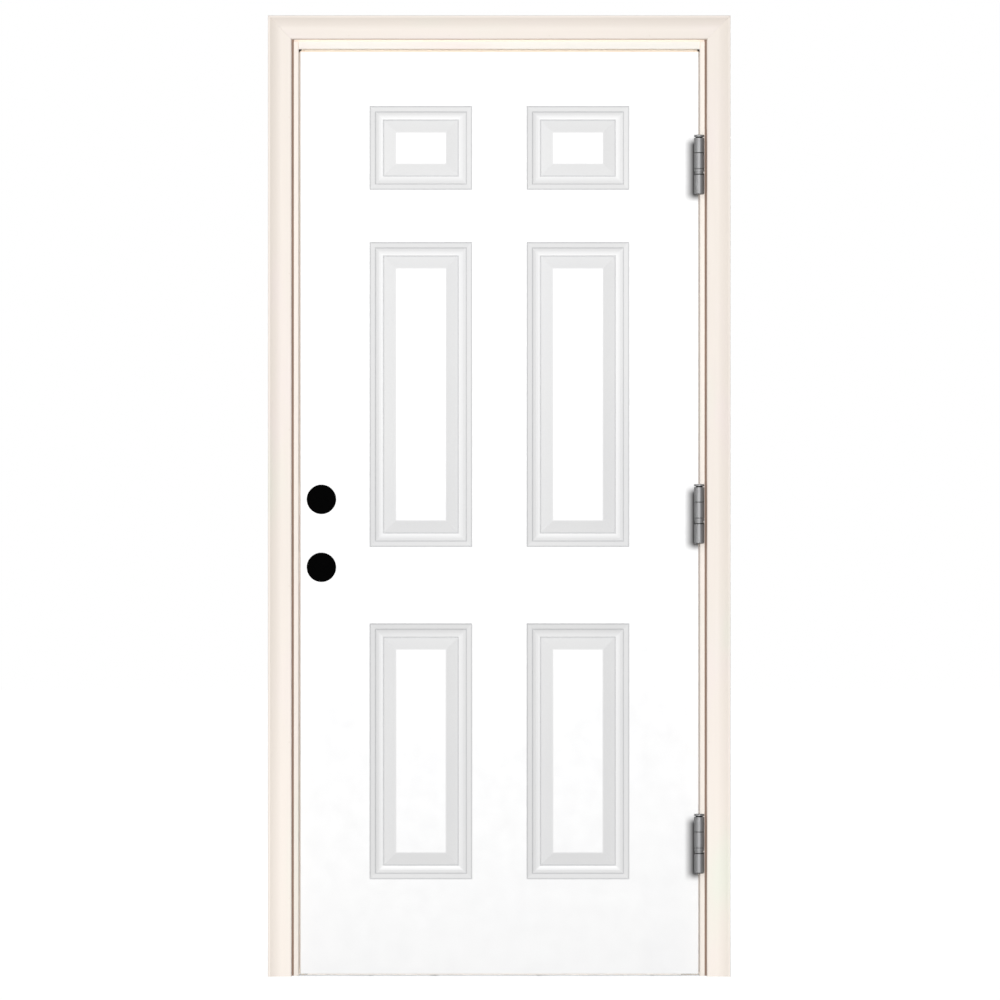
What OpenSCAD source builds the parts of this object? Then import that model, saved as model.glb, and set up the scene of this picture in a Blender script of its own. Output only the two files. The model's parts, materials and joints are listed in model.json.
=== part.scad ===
// Six-panel steel front door, hung in a rabbeted timber frame with brickmould.
// It opens outwards, towards the side that shows its hinge barrels.
// Millimetres: X runs along the wall, Y into the house, Z up.
// The origin is on the floor, midway between the jambs, in the plane of the closed door's outer face.

/* [Slab] */
// Width of the slab
door_w = 866; // [820:1:920]
// Height of the slab
door_h = 2004; // [1980:1:2060]
// Thickness of the slab
door_t = 44.45; // [40:0.05:50]
// Thickness of each steel skin
skin_t = 0.8; // [0.6:0.1:1.2]
// Width of each skin's return over the slab's upright edges
return_w = 9; // [6:0.5:9.5]
// Film of adhesive between a skin and what it covers
glue_t = 0.1; // [0.05:0.05:0.2]
// Width of the timber stile at the lock edge
lock_stile_w = 16; // [12:0.5:18]
// Width of the timber stile at the hinge edge
hinge_stile_w = 38; // [32:1:60]
// Height of the top and bottom rails inside the slab
rail_h = 38; // [30:1:60]
// Width of the timber block that carries the lock bores
lock_block_w = 100; // [70:1:110]
// Height of that block
lock_block_h = 320; // [260:5:400]

/* [Panels] */
// Width of a panel over its moulding
panel_w = 223; // [190:1:240]
// Plain width between the two columns of panels
mullion_w = 118.6; // [100:0.2:130]
// Plain height below the bottom panels
bottom_margin_h = 205.3; // [180:0.1:230]
// Height of a bottom panel
bottom_panel_h = 556.2; // [500:0.2:570]
// Plain height between the bottom and middle panels
lock_rail_h = 166.5; // [150:0.5:180]
// Height of a middle panel
middle_panel_h = 662.8; // [600:0.2:680]
// Plain height between the middle and top panels
upper_rail_h = 113.8; // [100:0.2:130]
// Height of a top panel
top_panel_h = 182; // [150:1:200]
// Width of the pressed moulding round a panel
moulding_w = 58.5; // [45:0.5:65]
// Depth of the moulding at its quirk
moulding_d = 10; // [6:0.5:12]

/* [Lock preparation] */
// Distance from the lock edge to the centre of the lock bores
backset = 45.9; // [45.5:0.1:70]
// Diameter of the lock bores
lock_bore_d = 54; // [50:0.5:54.5]
// Height of the lower lock bore above the floor
lock_bore_z = 888.7; // [860:0.1:940]
// Rise from the lower lock bore to the deadbolt bore
deadbolt_rise = 147.7; // [130:0.1:170]
// Diameter of the latch bores in the slab's edge
latch_bore_d = 25.4; // [22:0.1:26]
// Width of the faceplate mortises in the lock edge
faceplate_w = 25.4; // [22:0.1:25.4]
// Height of those mortises
faceplate_h = 57.15; // [50:0.05:64]
// Depth of those mortises
faceplate_d = 3; // [2:0.5:4]
// Width of the strike recesses in the jamb
strike_w = 28.6; // [26:0.1:32]
// Height of those recesses
strike_h = 70; // [57:1:80]
// Depth of those recesses
strike_d = 1.6; // [1:0.1:3]
// Diameter of the bolt pockets in the jamb, clear of its shadow groove
bolt_pocket_d = 22; // [18:0.1:24]

/* [Frame] */
// Gap between the slab and the strike jamb
lock_gap = 3; // [2.5:0.1:4]
// Gap between the slab and the hinge jamb
hinge_gap = 2; // [1.6:0.1:3]
// Gap above the slab
head_gap = 6; // [4:0.5:8]
// Gap between the threshold's lip and the slab
sill_gap = 2.8; // [2.4:0.1:5]
// Depth of the jambs through the wall
jamb_d = 116; // [100:1:170]
// Thickness of the side jambs behind the rabbet face
leg_t = 25.4; // [24.5:0.1:32]
// Thickness of the head jamb above its rabbet face
head_leg_t = 36; // [30:0.5:45]
// Height of the stop above the rabbet face
stop_t = 12.7; // [12.5:0.1:16]
// Space between the slab's inner face and the stop
seal_gap = 6; // [5:0.5:8]
// Eased arris along the rabbet
arris_w = 2; // [1:0.5:3]

/* [Brickmould] */
// Width of the brickmould
mould_w = 51; // [45:0.5:60]
// Full thickness, at the outer bead
mould_t = 31.75; // [28:0.25:36]
// Thickness of the flat band
mould_flat_t = 24.5; // [20:0.5:26]
// Width of the outer bead
bead_w = 4.4; // [3.5:0.1:7]
// Rounding of the outer bead
bead_r = 1.5; // [0.5:0.1:2.5]
// Width of the cove beside the bead
cove_w = 14; // [10:0.5:18]
// Rounding of the inner edge
nose_r = 6; // [3:0.5:9]
// Set-back of the brickmould from the side jambs' rabbet face
side_reveal = 15.7; // [15.4:0.1:18]
// Set-back of the brickmould from the head jamb's rabbet face
head_reveal = 21; // [15:0.5:24]
// Width of the shadow groove cut in the jambs beside the brickmould
groove_w = 4.6; // [2:0.1:4.8]
// Depth of that groove
groove_d = 10; // [4:0.5:12]
// Width of the relief in the brickmould's back
relief_w = 26; // [15:0.5:30]
// Depth of that relief
relief_d = 2; // [1:0.5:4]

/* [Hinges] */
// Rise from the slab's foot to the lower hinge's middle
lower_hinge_rise = 283.2; // [230:0.1:340]
// Drop from midway between the outer hinges to the middle hinge's middle
middle_hinge_drop = 21.2; // [0:0.1:60]
// Drop from the slab's top to the upper hinge's middle
upper_hinge_drop = 245.1; // [160:0.1:310]
// Diameter of the barrel
barrel_d = 22.4; // [18:0.1:22.6]
// Diameter of the pin
pin_d = 12.7; // [9:0.1:13.5]
// Radial clearance of the pin in the knuckles
running_gap = 0.05; // [0.03:0.01:0.1]
// Gap between the barrel and the slab's face
barrel_gap = 0.5; // [0.4:0.1:2]
// Thickness of the leaves
leaf_t = 4.8; // [3.4:0.1:5]
// Width of the leaves, let into the slab's edge and the jamb
leaf_w = 34; // [28:0.5:34.5]
// Rounding of the leaves' corners
leaf_r = 6.35; // [3:0.05:8]
// Height of the lower knuckle
lower_knuckle_h = 43.5; // [36:0.1:50]
// Height of the bearing between the lower and middle knuckles
bearing_h = 12; // [8:0.1:14]
// Height of the middle knuckle
middle_knuckle_h = 34.8; // [30:0.1:44]
// Height of the upper knuckle
upper_knuckle_h = 32.6; // [28:0.1:40]
// Height of the groove under the pin's cap
neck_h = 2.2; // [1:0.1:3]
// Height of the pin's cap
cap_h = 4.4; // [3:0.1:7]
// Rounding of the barrel's lower end
foot_r = 3; // [1:0.1:4]
// Chamfer on the knuckles' edges and on the bearing's lower edge
knuckle_ease = 0.6; // [0.2:0.1:1]
// Seam between a turning knuckle and its neighbour
knuckle_seam = 0.25; // [0.2:0.05:0.5]

/* [Threshold and seals] */
// Thickness of the threshold's front lip
lip_t = 2.2; // [2:0.1:4]
// Height of the threshold's sill
sill_h = 19; // [17:0.5:24]
// Height of the sill at the room side
sill_back_h = 12; // [10:0.5:14]
// Depth of the sill's flat top
sill_flat_d = 32; // [26:1:40]
// Wall of the threshold's extrusion
sill_wall = 2.6; // [2:0.1:3.2]
// Width of the weatherstrip's bulb
bulb_w = 11; // [8:0.5:11]
// Gap between a seal and the slab
seal_clear = 0.3; // [0.3:0.05:1]
// Width of the weatherstrip's fin
fin_w = 2.4; // [1.6:0.1:3]
// Depth of the weatherstrip's fin in its kerf
fin_d = 8; // [5:0.5:10]

/* [Fasteners] */
// Diameter of the wood screws
screw_d = 4.8; // [4:0.1:5.5]
// Diameter of their heads
screw_head_d = 9.6; // [8:0.1:10.5]
// Height of their heads
screw_head_h = 3; // [2:0.1:3.2]
// Length of the hinge screws
hinge_screw_l = 23; // [16:0.5:23.5]
// Length of the screws at the frame's top corners
corner_screw_l = 62; // [45:1:80]
// Length of the screws into the threshold
sill_screw_l = 66; // [50:1:80]
// Diameter of the brickmould nails
nail_d = 2.5; // [2:0.1:3]
// Length of the brickmould nails
nail_l = 46; // [35:1:55]
// Depth to which the nails are set below the brickmould's flat band
nail_set = 3; // [2:0.5:5]
// Brickmould nails along each side
side_nails = 6; // [4:1:9]
// Brickmould nails along the head
head_nails = 4; // [3:1:6]

/* [Hidden] */

$fn = 64;

// Overrun of every cut past the surface that it leaves
overrun = 5;
// Slack round screws, nails and let-in pieces
fit = 0.1;
// Slack at the ends of the threshold and the seals
end_gap = 0.3;
// Points along a rounded stretch of an outline
arc_steps = 6;

// The slab in its frame
half_opening = (door_w + lock_gap + hinge_gap) / 2;
door_x1 = half_opening - hinge_gap;
door_x0 = door_x1 - door_w;
door_mid_x = (door_x0 + door_x1) / 2;
door_z0 = lip_t + sill_gap;
door_z1 = door_z0 + door_h;
rabbet_d = door_t + seal_gap;
head_z = door_z1 + head_gap;
jamb_top = head_z + head_leg_t;
jamb_out = half_opening + leg_t;
stop_in = half_opening - stop_t;
mould_in = half_opening + side_reveal;
mould_out = mould_in + mould_w;
mould_in_z = head_z + head_reveal;
mould_top = mould_in_z + mould_w;

// Under the skins
cover_t = skin_t + glue_t;
core_t = door_t - 2 * cover_t;
stile_in = door_x0 + lock_stile_w;
block_in = stile_in + lock_block_w;
hinge_stile_in = door_x1 - hinge_stile_w;
rail_l = hinge_stile_in - stile_in;
block_z = lock_bore_z + deadbolt_rise / 2 - lock_block_h / 2;

// The pressed moulding, from its outer edge to the field: shares of its width and of its depth.
// A step and a sloping fillet, a second step into the cove, the quirk, then the bevel up to the field.
moulding_shares = [
    [0, 0], [0.02, 0.13], [0.2, 0.39], [0.22, 0.52], [0.28, 0.66], [0.347, 0.76], [0.424, 0.82],
    [0.494, 0.86], [0.516, 1], [0.543, 0.97], [0.948, 0.35], [0.977, 0.32], [1, 0.31]
];
// Depth of the sheet that holds the pressing
pressing_d = moulding_d + skin_t + overrun;
column_x = [door_mid_x - mullion_w / 2 - panel_w, door_mid_x + mullion_w / 2];
bottom_panel_z = door_z0 + bottom_margin_h;
middle_panel_z = bottom_panel_z + bottom_panel_h + lock_rail_h;
top_panel_z = middle_panel_z + middle_panel_h + upper_rail_h;
// Foot and height of each row of panels
panel_rows = [
    [bottom_panel_z, bottom_panel_h], [middle_panel_z, middle_panel_h], [top_panel_z, top_panel_h]
];

// The lock's axes
lock_x = door_x0 + backset;
lock_heights = [lock_bore_z, lock_bore_z + deadbolt_rise];

// The hinge line
axis_x = half_opening - hinge_gap / 2;
axis_y = -(barrel_d / 2 + barrel_gap);
leaf_h = lower_knuckle_h + bearing_h + middle_knuckle_h + upper_knuckle_h;
hinge_h = leaf_h + neck_h + cap_h;
lower_hinge_z = door_z0 + lower_hinge_rise;
upper_hinge_z = door_z1 - upper_hinge_drop;
middle_hinge_z = (lower_hinge_z + upper_hinge_z) / 2 - middle_hinge_drop;
hinge_heights = [lower_hinge_z, middle_hinge_z, upper_hinge_z];
bore_r = pin_d / 2 + running_gap;
// Places of the screws in a leaf, and of the rings in a bearing, as shares
screw_z_shares = [0.12, 0.37, 0.63, 0.88];
screw_y_shares = [0.68, 0.42, 0.68, 0.42];
lower_race_share = 0.2;
upper_race_share = 0.5;
race_groove_share = 0.9;
cage_r_share = 0.86;
groove_r_share = 0.96;
neck_r_share = 0.68;
cap_round_share = 0.35;
screw_tip_share = 0.2;

// Brickmould outline
cove_h = mould_t - mould_flat_t;
cove_r = (cove_w * cove_w + cove_h * cove_h) / (2 * cove_h);
cove_u = mould_w - bead_w - cove_w;
relief_u = (mould_w - relief_w + jamb_out - mould_in) / 2;

// Fasteners in the frame
nail_x = (mould_in + jamb_out) / 2;
nail_z = (mould_in_z + jamb_top) / 2;
nail_head_share = 1.3;
nail_end_share = 0.06;
corner_screw_shares = [0.24, 0.52, 0.8];
sill_screw_shares = [0.26, 0.72];
boss_z_share = 0.48;
boss_wall = 2;
boss_web = 2.2;

// Seals
kerf_w = fin_w + 2 * fit;
kerf_d = fin_d + fit;
bulb_edge = (stop_t - bulb_w) / 2;
bulb_r_share = 0.42;
bulb_proud = seal_gap - seal_clear;
sill_seal_w = 8;
sill_seal_z = door_z0 + seal_clear + fin_w;
pad_w = 6;
pad_y = 0.5;
pad_d = 20;
wiper_t = 1.4;
sweep_t = 1;
sweep_w = 30;
tread_count = 5;
tread_w = 1.6;
tread_d = 0.8;

function arc(centre, radius, from, to) = [
    for (i = [0 : arc_steps])
        let (a = from + (to - from) * i / arc_steps)
        centre + radius * [cos(a), sin(a)]
];

// Brickmould section: u from its inner edge outwards, v from its back to its face
function mould_outline() = concat(
    [[0, 0], [relief_u, 0], [relief_u, relief_d], [relief_u + relief_w, relief_d]],
    [[relief_u + relief_w, 0], [mould_w, 0]],
    arc([mould_w - bead_r, mould_t - bead_r], bead_r, 0, 90),
    arc([cove_u, mould_flat_t + cove_r], cove_r, atan2(cove_h - cove_r, cove_w), -90),
    arc([nose_r, mould_flat_t - nose_r], nose_r, 90, 180)
);

// Seal section: s across the seal, d out of the face that it sits on, with its fin sunk in a kerf
function seal_outline(width) =
    let (r = bulb_proud * bulb_r_share, fin_s = (width - fin_w) / 2)
    concat(
        [[0, 0], [fin_s, 0], [fin_s, -fin_d], [fin_s + fin_w, -fin_d], [fin_s + fin_w, 0], [width, 0]],
        arc([width - r, bulb_proud - r], r, 0, 90),
        arc([r, bulb_proud - r], r, 90, 180)
    );

// Extrudes a section drawn in Y and Z, centred on the opening
module along_x(length) {
    translate([-length / 2, 0, 0])
        rotate([90, 0, 90])
            linear_extrude(height = length)
                children();
}

module at_both_sides() {
    children();
    mirror([1, 0, 0])
        children();
}

// Wood screw with a countersunk head, pointing up from the face at zero
module screw(length) {
    rotate_extrude()
        polygon([
            [0, 0], [screw_head_d / 2, 0], [screw_d / 2, screw_head_h],
            [screw_d / 2, length * (1 - screw_tip_share)], [0, length]
        ]);
}

module screw_hole(length) {
    head_r = screw_head_d / 2 + fit;
    shank_r = screw_d / 2 + fit;
    rotate_extrude()
        polygon([
            [0, -overrun], [head_r, -overrun], [head_r, 0], [shank_r, screw_head_h],
            [shank_r, length + fit], [0, length + fit]
        ]);
}

// Finishing nail with a small head, driven along Y and set below the face
module nail(slack) {
    r = nail_d / 2 + slack;
    head_l = nail_l * nail_end_share;
    translate([0, -mould_flat_t + nail_set - slack, 0])
        rotate([-90, 0, 0]) {
            cylinder(r = r, h = nail_l + 2 * slack);
            cylinder(r = r * nail_head_share, h = head_l + 2 * slack);
        }
}

module side_nails(slack) {
    for (i = [0 : side_nails - 1])
        translate([nail_x, 0, mould_in_z * (i + 0.5) / side_nails])
            nail(slack);
}

module head_nails(slack) {
    for (i = [0 : head_nails - 1])
        translate([2 * half_opening * ((i + 0.5) / head_nails - 0.5), 0, nail_z])
            nail(slack);
}

// Puts a screw at each place in the frame's top corner, driven in from the jamb's outer face
module corner_screw_places() {
    for (share = corner_screw_shares)
        translate([jamb_out, jamb_d * share, head_z + head_leg_t / 2])
            rotate([0, -90, 0])
                children();
}

function sill_screw_y(share) = rabbet_d + (jamb_d - rabbet_d) * share;
boss_z = sill_h * boss_z_share;

module sill_screw_places() {
    for (share = sill_screw_shares)
        translate([jamb_out, sill_screw_y(share), boss_z])
            rotate([0, -90, 0])
                children();
}

// Screws of one hinge leaf, driven along X from the leaf's face
module leaf_screw_places(hinge_z, face_x, turn) {
    for (i = [0 : len(screw_z_shares) - 1])
        translate([
            face_x, leaf_w * screw_y_shares[i], hinge_z - hinge_h / 2 + leaf_h * screw_z_shares[i]
        ])
            rotate([0, turn, 0])
                children();
}

// Leaf plate with its two inner corners rounded, grown by the slack of its mortise
module leaf_blank(thickness, slack) {
    w = leaf_w + slack;
    h = leaf_h + 2 * slack;
    translate([0, 0, -slack]) {
        cube([thickness, w - leaf_r, h]);
        translate([0, 0, leaf_r])
            cube([thickness, w, h - 2 * leaf_r]);
        for (z = [leaf_r, h - leaf_r])
            translate([0, w - leaf_r, z])
                rotate([0, 90, 0])
                    cylinder(r = leaf_r, h = thickness);
    }
}

// Mortise of a leaf, open at the outer face and at the edge that it is let into
module leaf_mortise(hinge_z, edge_x, sunk) {
    translate([edge_x, 0, hinge_z - hinge_h / 2])
        leaf_blank(sunk, fit);
    translate([edge_x, -overrun, hinge_z - hinge_h / 2 - fit])
        cube([sunk, overrun + leaf_r, leaf_h + 2 * fit]);
}

module door_leaf_mortises() {
    for (z = hinge_heights)
        leaf_mortise(z, door_x1 - leaf_t - fit, leaf_t + fit + overrun);
}

module jamb_leaf_mortises() {
    for (z = hinge_heights)
        leaf_mortise(z, half_opening - overrun, leaf_t + fit + overrun);
}

module side_jamb() {
    difference() {
        linear_extrude(height = jamb_top)
            polygon([
                [half_opening + arris_w, 0], [jamb_out, 0], [jamb_out, jamb_d], [stop_in, jamb_d],
                [stop_in, rabbet_d], [half_opening, rabbet_d], [half_opening, arris_w]
            ]);
        // The stop ends under the head jamb
        translate([stop_in - overrun, rabbet_d - overrun, head_z])
            cube([stop_t + overrun, jamb_d, jamb_top]);
        // Shadow groove beside the brickmould, and its return across the top
        translate([mould_in - groove_w, -overrun, -overrun])
            cube([groove_w, groove_d + overrun, jamb_top + 2 * overrun]);
        translate([half_opening - overrun, -overrun, mould_in_z - groove_w])
            cube([side_reveal + overrun, groove_d + overrun, groove_w]);
        // Kerf for the weatherstrip
        translate([half_opening - stop_t / 2 - kerf_w / 2, rabbet_d - overrun, -overrun])
            cube([kerf_w, kerf_d + overrun, jamb_top + 2 * overrun]);
        side_nails(fit);
        corner_screw_places()
            screw_hole(corner_screw_l);
        sill_screw_places()
            screw_hole(sill_screw_l);
    }
}

module hinge_jamb() {
    color("linen")
        difference() {
            side_jamb();
            jamb_leaf_mortises();
            for (z = hinge_heights)
                leaf_screw_places(z, half_opening, 90)
                    screw_hole(hinge_screw_l);
        }
}

module strike_jamb() {
    color("linen")
        difference() {
            mirror([1, 0, 0])
                side_jamb();
            for (z = lock_heights) {
                translate([-half_opening - strike_d, (door_t - strike_w) / 2, z - strike_h / 2])
                    cube([strike_d + overrun, strike_w, strike_h]);
                translate([-jamb_out - overrun, door_t / 2, z])
                    rotate([0, 90, 0])
                        cylinder(d = bolt_pocket_d, h = leg_t + 2 * overrun);
            }
        }
}

module head_jamb() {
    color("linen")
        difference() {
            along_x(2 * half_opening)
                polygon([
                    [0, head_z + arris_w], [arris_w, head_z], [rabbet_d, head_z],
                    [rabbet_d, head_z - stop_t], [jamb_d, head_z - stop_t], [jamb_d, jamb_top], [0, jamb_top]
                ]);
            at_both_sides() {
                translate([stop_in, rabbet_d - overrun, head_z - stop_t - overrun])
                    cube([stop_t + overrun, jamb_d, stop_t + overrun]);
                corner_screw_places()
                    screw_hole(corner_screw_l);
            }
            translate([-jamb_out, -overrun, mould_in_z - groove_w])
                cube([2 * jamb_out, groove_d + overrun, groove_w]);
            translate([-jamb_out, rabbet_d - overrun, head_z - stop_t / 2 - kerf_w / 2])
                cube([2 * jamb_out, kerf_d + overrun, kerf_w]);
            head_nails(fit);
        }
}

// Wedge that clears everything on one side of the mitre at the right-hand corner
module mitre_cut(points) {
    translate([0, overrun, 0])
        rotate([90, 0, 0])
            linear_extrude(height = mould_t + 2 * overrun)
                polygon(points);
}

module side_brickmould() {
    difference() {
        linear_extrude(height = mould_top)
            polygon([for (p = mould_outline()) [mould_in + p[0], -p[1]]]);
        mitre_cut([
            [mould_in - overrun, mould_in_z - overrun], [mould_out + overrun, mould_top + overrun],
            [mould_in - overrun, mould_top + overrun]
        ]);
        side_nails(fit);
    }
}

module hinge_side_brickmould() {
    color("seashell")
        side_brickmould();
}

module strike_side_brickmould() {
    color("seashell")
        mirror([1, 0, 0])
            side_brickmould();
}

module head_brickmould() {
    color("seashell")
        difference() {
            along_x(2 * mould_out)
                polygon([for (p = mould_outline()) [-p[1], mould_in_z + p[0]]]);
            at_both_sides()
                mitre_cut([
                    [mould_in - overrun, mould_in_z - overrun], [mould_out + overrun, mould_in_z - overrun],
                    [mould_out + overrun, mould_top + overrun]
                ]);
            head_nails(fit);
        }
}

module brickmould_nails() {
    color("gray") {
        at_both_sides()
            side_nails(0);
        head_nails(0);
    }
}

module frame_corner_screws() {
    color("gray")
        at_both_sides()
            corner_screw_places()
                screw(corner_screw_l);
}

module sill_screws() {
    color("gray")
        at_both_sides()
            sill_screw_places()
                screw(sill_screw_l);
}

module threshold_outline() {
    flat_end = rabbet_d + sill_flat_d;
    polygon([
        [0, 0], [0, lip_t], [rabbet_d, lip_t], [rabbet_d, sill_h], [flat_end, sill_h],
        [jamb_d, sill_back_h], [jamb_d, 0]
    ]);
}

// Hollow under the sill, open at the floor, behind the wall that takes the seal
module threshold_hollow() {
    flat_end = rabbet_d + sill_flat_d;
    front = rabbet_d + kerf_d + sill_wall;
    polygon([
        [front, -overrun], [front, sill_h - sill_wall], [flat_end, sill_h - sill_wall],
        [jamb_d - sill_wall, sill_back_h - sill_wall], [jamb_d - sill_wall, -overrun]
    ]);
}

module threshold() {
    port_r = screw_d / 2 + fit;
    color("silver")
        difference() {
            along_x(2 * (half_opening - end_gap))
                difference() {
                    threshold_outline();
                    difference() {
                        threshold_hollow();
                        for (share = sill_screw_shares)
                            translate([sill_screw_y(share), boss_z]) {
                                circle(r = port_r + boss_wall);
                                translate([-boss_web / 2, 0])
                                    square([boss_web, sill_h]);
                            }
                    }
                    for (share = sill_screw_shares)
                        translate([sill_screw_y(share), boss_z])
                            circle(r = port_r);
                    translate([rabbet_d - overrun, sill_seal_z + (sill_seal_w - kerf_w) / 2])
                        square([kerf_d + overrun, kerf_w]);
                    for (i = [1 : tread_count])
                        translate([rabbet_d + sill_flat_d * i / (tread_count + 1), sill_h - tread_d])
                            square([tread_w, tread_d + overrun]);
                }
            // The sill fits between the stops
            at_both_sides()
                translate([stop_in - end_gap, rabbet_d - end_gap, -overrun])
                    cube([stop_t + overrun, jamb_d, sill_h + 2 * overrun]);
        }
}

module threshold_seal() {
    color("dimgray")
        along_x(2 * (stop_in - end_gap))
            polygon([for (p = seal_outline(sill_seal_w)) [rabbet_d - p[1], sill_seal_z + p[0]]]);
}

module side_weatherstrip() {
    translate([0, 0, lip_t + end_gap])
        linear_extrude(height = head_z - lip_t - 2 * end_gap)
            polygon([
                for (p = seal_outline(bulb_w)) [half_opening - bulb_edge - p[0], rabbet_d - p[1]]
            ]);
}

module hinge_side_weatherstrip() {
    color("tan")
        side_weatherstrip();
}

module strike_side_weatherstrip() {
    color("tan")
        mirror([1, 0, 0])
            side_weatherstrip();
}

module head_weatherstrip() {
    color("tan")
        along_x(2 * (stop_in - end_gap))
            polygon([for (p = seal_outline(bulb_w)) [rabbet_d - p[1], head_z - bulb_edge - p[0]]]);
}

// Foam wedges in the top corners of the rabbet, clear of the slab's top edge
module corner_pads() {
    pad_h = head_gap - seal_clear;
    color("saddlebrown")
        at_both_sides()
            translate([0, pad_y + pad_d, 0])
                rotate([90, 0, 0])
                    linear_extrude(height = pad_d)
                        polygon([
                            [half_opening, head_z], [half_opening - pad_w, head_z],
                            [half_opening, head_z - pad_h]
                        ]);
}

// Upper end of a barrel's section: its chamfered edge and its middle
function barrel_top(height) = [
    [barrel_d / 2, height - knuckle_ease], [barrel_d / 2 - knuckle_ease, height], [0, height]
];

// Barrel of the middle and upper knuckles
module barrel(height) {
    r = barrel_d / 2;
    rotate_extrude()
        polygon(concat([[0, 0], [r - knuckle_ease, 0], [r, knuckle_ease]], barrel_top(height)));
}

// Barrel of the lower knuckle, rounded at its foot
module footed_barrel(height) {
    rotate_extrude()
        polygon(concat(
            [[0, 0]], arc([barrel_d / 2 - foot_r, foot_r], foot_r, -90, 0), barrel_top(height)
        ));
}

// One knuckle: a barrel with its tongue to the leaf plate, whose near face lies at plate_x
module knuckle(z, height, plate_x) {
    difference() {
        union() {
            translate([axis_x, axis_y, z])
                children();
            translate([plate_x, axis_y, z])
                cube([leaf_t, leaf_r - axis_y, height]);
        }
        translate([axis_x, axis_y, z - overrun])
            cylinder(r = bore_r, h = height + 2 * overrun);
    }
}

module jamb_leaf(hinge_z) {
    z = hinge_z - hinge_h / 2;
    color("darkgray")
        difference() {
            union() {
                translate([half_opening, 0, z])
                    leaf_blank(leaf_t, 0);
                knuckle(z, lower_knuckle_h, half_opening)
                    footed_barrel(lower_knuckle_h);
                knuckle(z + leaf_h - upper_knuckle_h, upper_knuckle_h, half_opening)
                    barrel(upper_knuckle_h);
            }
            leaf_screw_places(hinge_z, half_opening, 90)
                screw_hole(hinge_screw_l);
        }
}

module door_leaf(hinge_z) {
    z = hinge_z - hinge_h / 2;
    knuckle_h = middle_knuckle_h - 2 * knuckle_seam;
    color("darkgray")
        difference() {
            union() {
                translate([door_x1 - leaf_t, 0, z])
                    leaf_blank(leaf_t, 0);
                knuckle(z + lower_knuckle_h + bearing_h + knuckle_seam, knuckle_h, door_x1 - leaf_t)
                    barrel(knuckle_h);
            }
            leaf_screw_places(hinge_z, door_x1, -90)
                screw_hole(hinge_screw_l);
        }
}

// Pin with a grooved neck and a rounded cap on the upper knuckle
module hinge_pin(hinge_z) {
    cap_r = barrel_d / 2;
    round_r = cap_h * cap_round_share;
    color("darkgray")
        translate([axis_x, axis_y, hinge_z - hinge_h / 2])
            rotate_extrude()
                polygon(concat(
                    [[0, 0], [pin_d / 2, 0], [pin_d / 2, leaf_h], [cap_r * neck_r_share, leaf_h]],
                    [[cap_r * neck_r_share, leaf_h + neck_h], [cap_r, leaf_h + neck_h]],
                    arc([cap_r - round_r, hinge_h - round_r], round_r, 0, 90),
                    [[0, hinge_h]]
                ));
}

// Bearing between the lower and middle knuckles: two races with a sunk cage between them
module hinge_bearing(hinge_z) {
    r = barrel_d / 2;
    cage_bottom = bearing_h * lower_race_share;
    cage_top = bearing_h * upper_race_share;
    groove = bearing_h * race_groove_share;
    color("gray")
        translate([axis_x, axis_y, hinge_z - hinge_h / 2 + lower_knuckle_h])
            rotate_extrude()
                polygon([
                    [bore_r, 0], [r - knuckle_ease, 0], [r, knuckle_ease],
                    [r, cage_bottom], [r * cage_r_share, cage_bottom],
                    [r * cage_r_share, cage_top], [r, cage_top], [r, groove],
                    [r * groove_r_share, groove], [r * groove_r_share, bearing_h], [bore_r, bearing_h]
                ]);
}

module upper_hinge_jamb_leaf() {
    jamb_leaf(upper_hinge_z);
}

module middle_hinge_jamb_leaf() {
    jamb_leaf(middle_hinge_z);
}

module lower_hinge_jamb_leaf() {
    jamb_leaf(lower_hinge_z);
}

module upper_hinge_pin() {
    hinge_pin(upper_hinge_z);
}

module middle_hinge_pin() {
    hinge_pin(middle_hinge_z);
}

module lower_hinge_pin() {
    hinge_pin(lower_hinge_z);
}

module upper_hinge_bearing() {
    hinge_bearing(upper_hinge_z);
}

module middle_hinge_bearing() {
    hinge_bearing(middle_hinge_z);
}

module lower_hinge_bearing() {
    hinge_bearing(lower_hinge_z);
}

module upper_hinge_door_leaf() {
    door_leaf(upper_hinge_z);
}

module middle_hinge_door_leaf() {
    door_leaf(middle_hinge_z);
}

module lower_hinge_door_leaf() {
    door_leaf(lower_hinge_z);
}

module jamb_leaf_screws() {
    color("gray")
        for (z = hinge_heights)
            leaf_screw_places(z, half_opening, 90)
                screw(hinge_screw_l);
}

module door_leaf_screws() {
    color("gray")
        for (z = hinge_heights)
            leaf_screw_places(z, door_x1, -90)
                screw(hinge_screw_l);
}

// Tool that presses one panel: nested mitred rectangles, from the outer edge in to the raised field
module panel_tool(width, height) {
    levels = concat([[0, -overrun]], [for (s = moulding_shares) [s[0] * moulding_w, s[1] * moulding_d]]);
    last = len(levels) - 1;
    corners = [
        for (l = levels)
            each [
                [l[0], l[1], l[0]], [width - l[0], l[1], l[0]],
                [width - l[0], l[1], height - l[0]], [l[0], l[1], height - l[0]]
            ]
    ];
    polyhedron(
        points = corners,
        faces = concat(
            [[3, 2, 1, 0]],
            [
                for (i = [0 : last - 1], k = [0 : 3])
                    let (n = (k + 1) % 4)
                    [4 * i + k, 4 * i + n, 4 * (i + 1) + n, 4 * (i + 1) + k]
            ],
            [[4 * last, 4 * last + 1, 4 * last + 2, 4 * last + 3]]
        )
    );
}

module panel_tools(face_y) {
    for (x = column_x, row = panel_rows)
        translate([x, face_y, row[0]])
            panel_tool(panel_w, row[1]);
}

module from_inner_face() {
    translate([0, door_t, 0])
        mirror([0, 1, 0])
            children();
}

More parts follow.
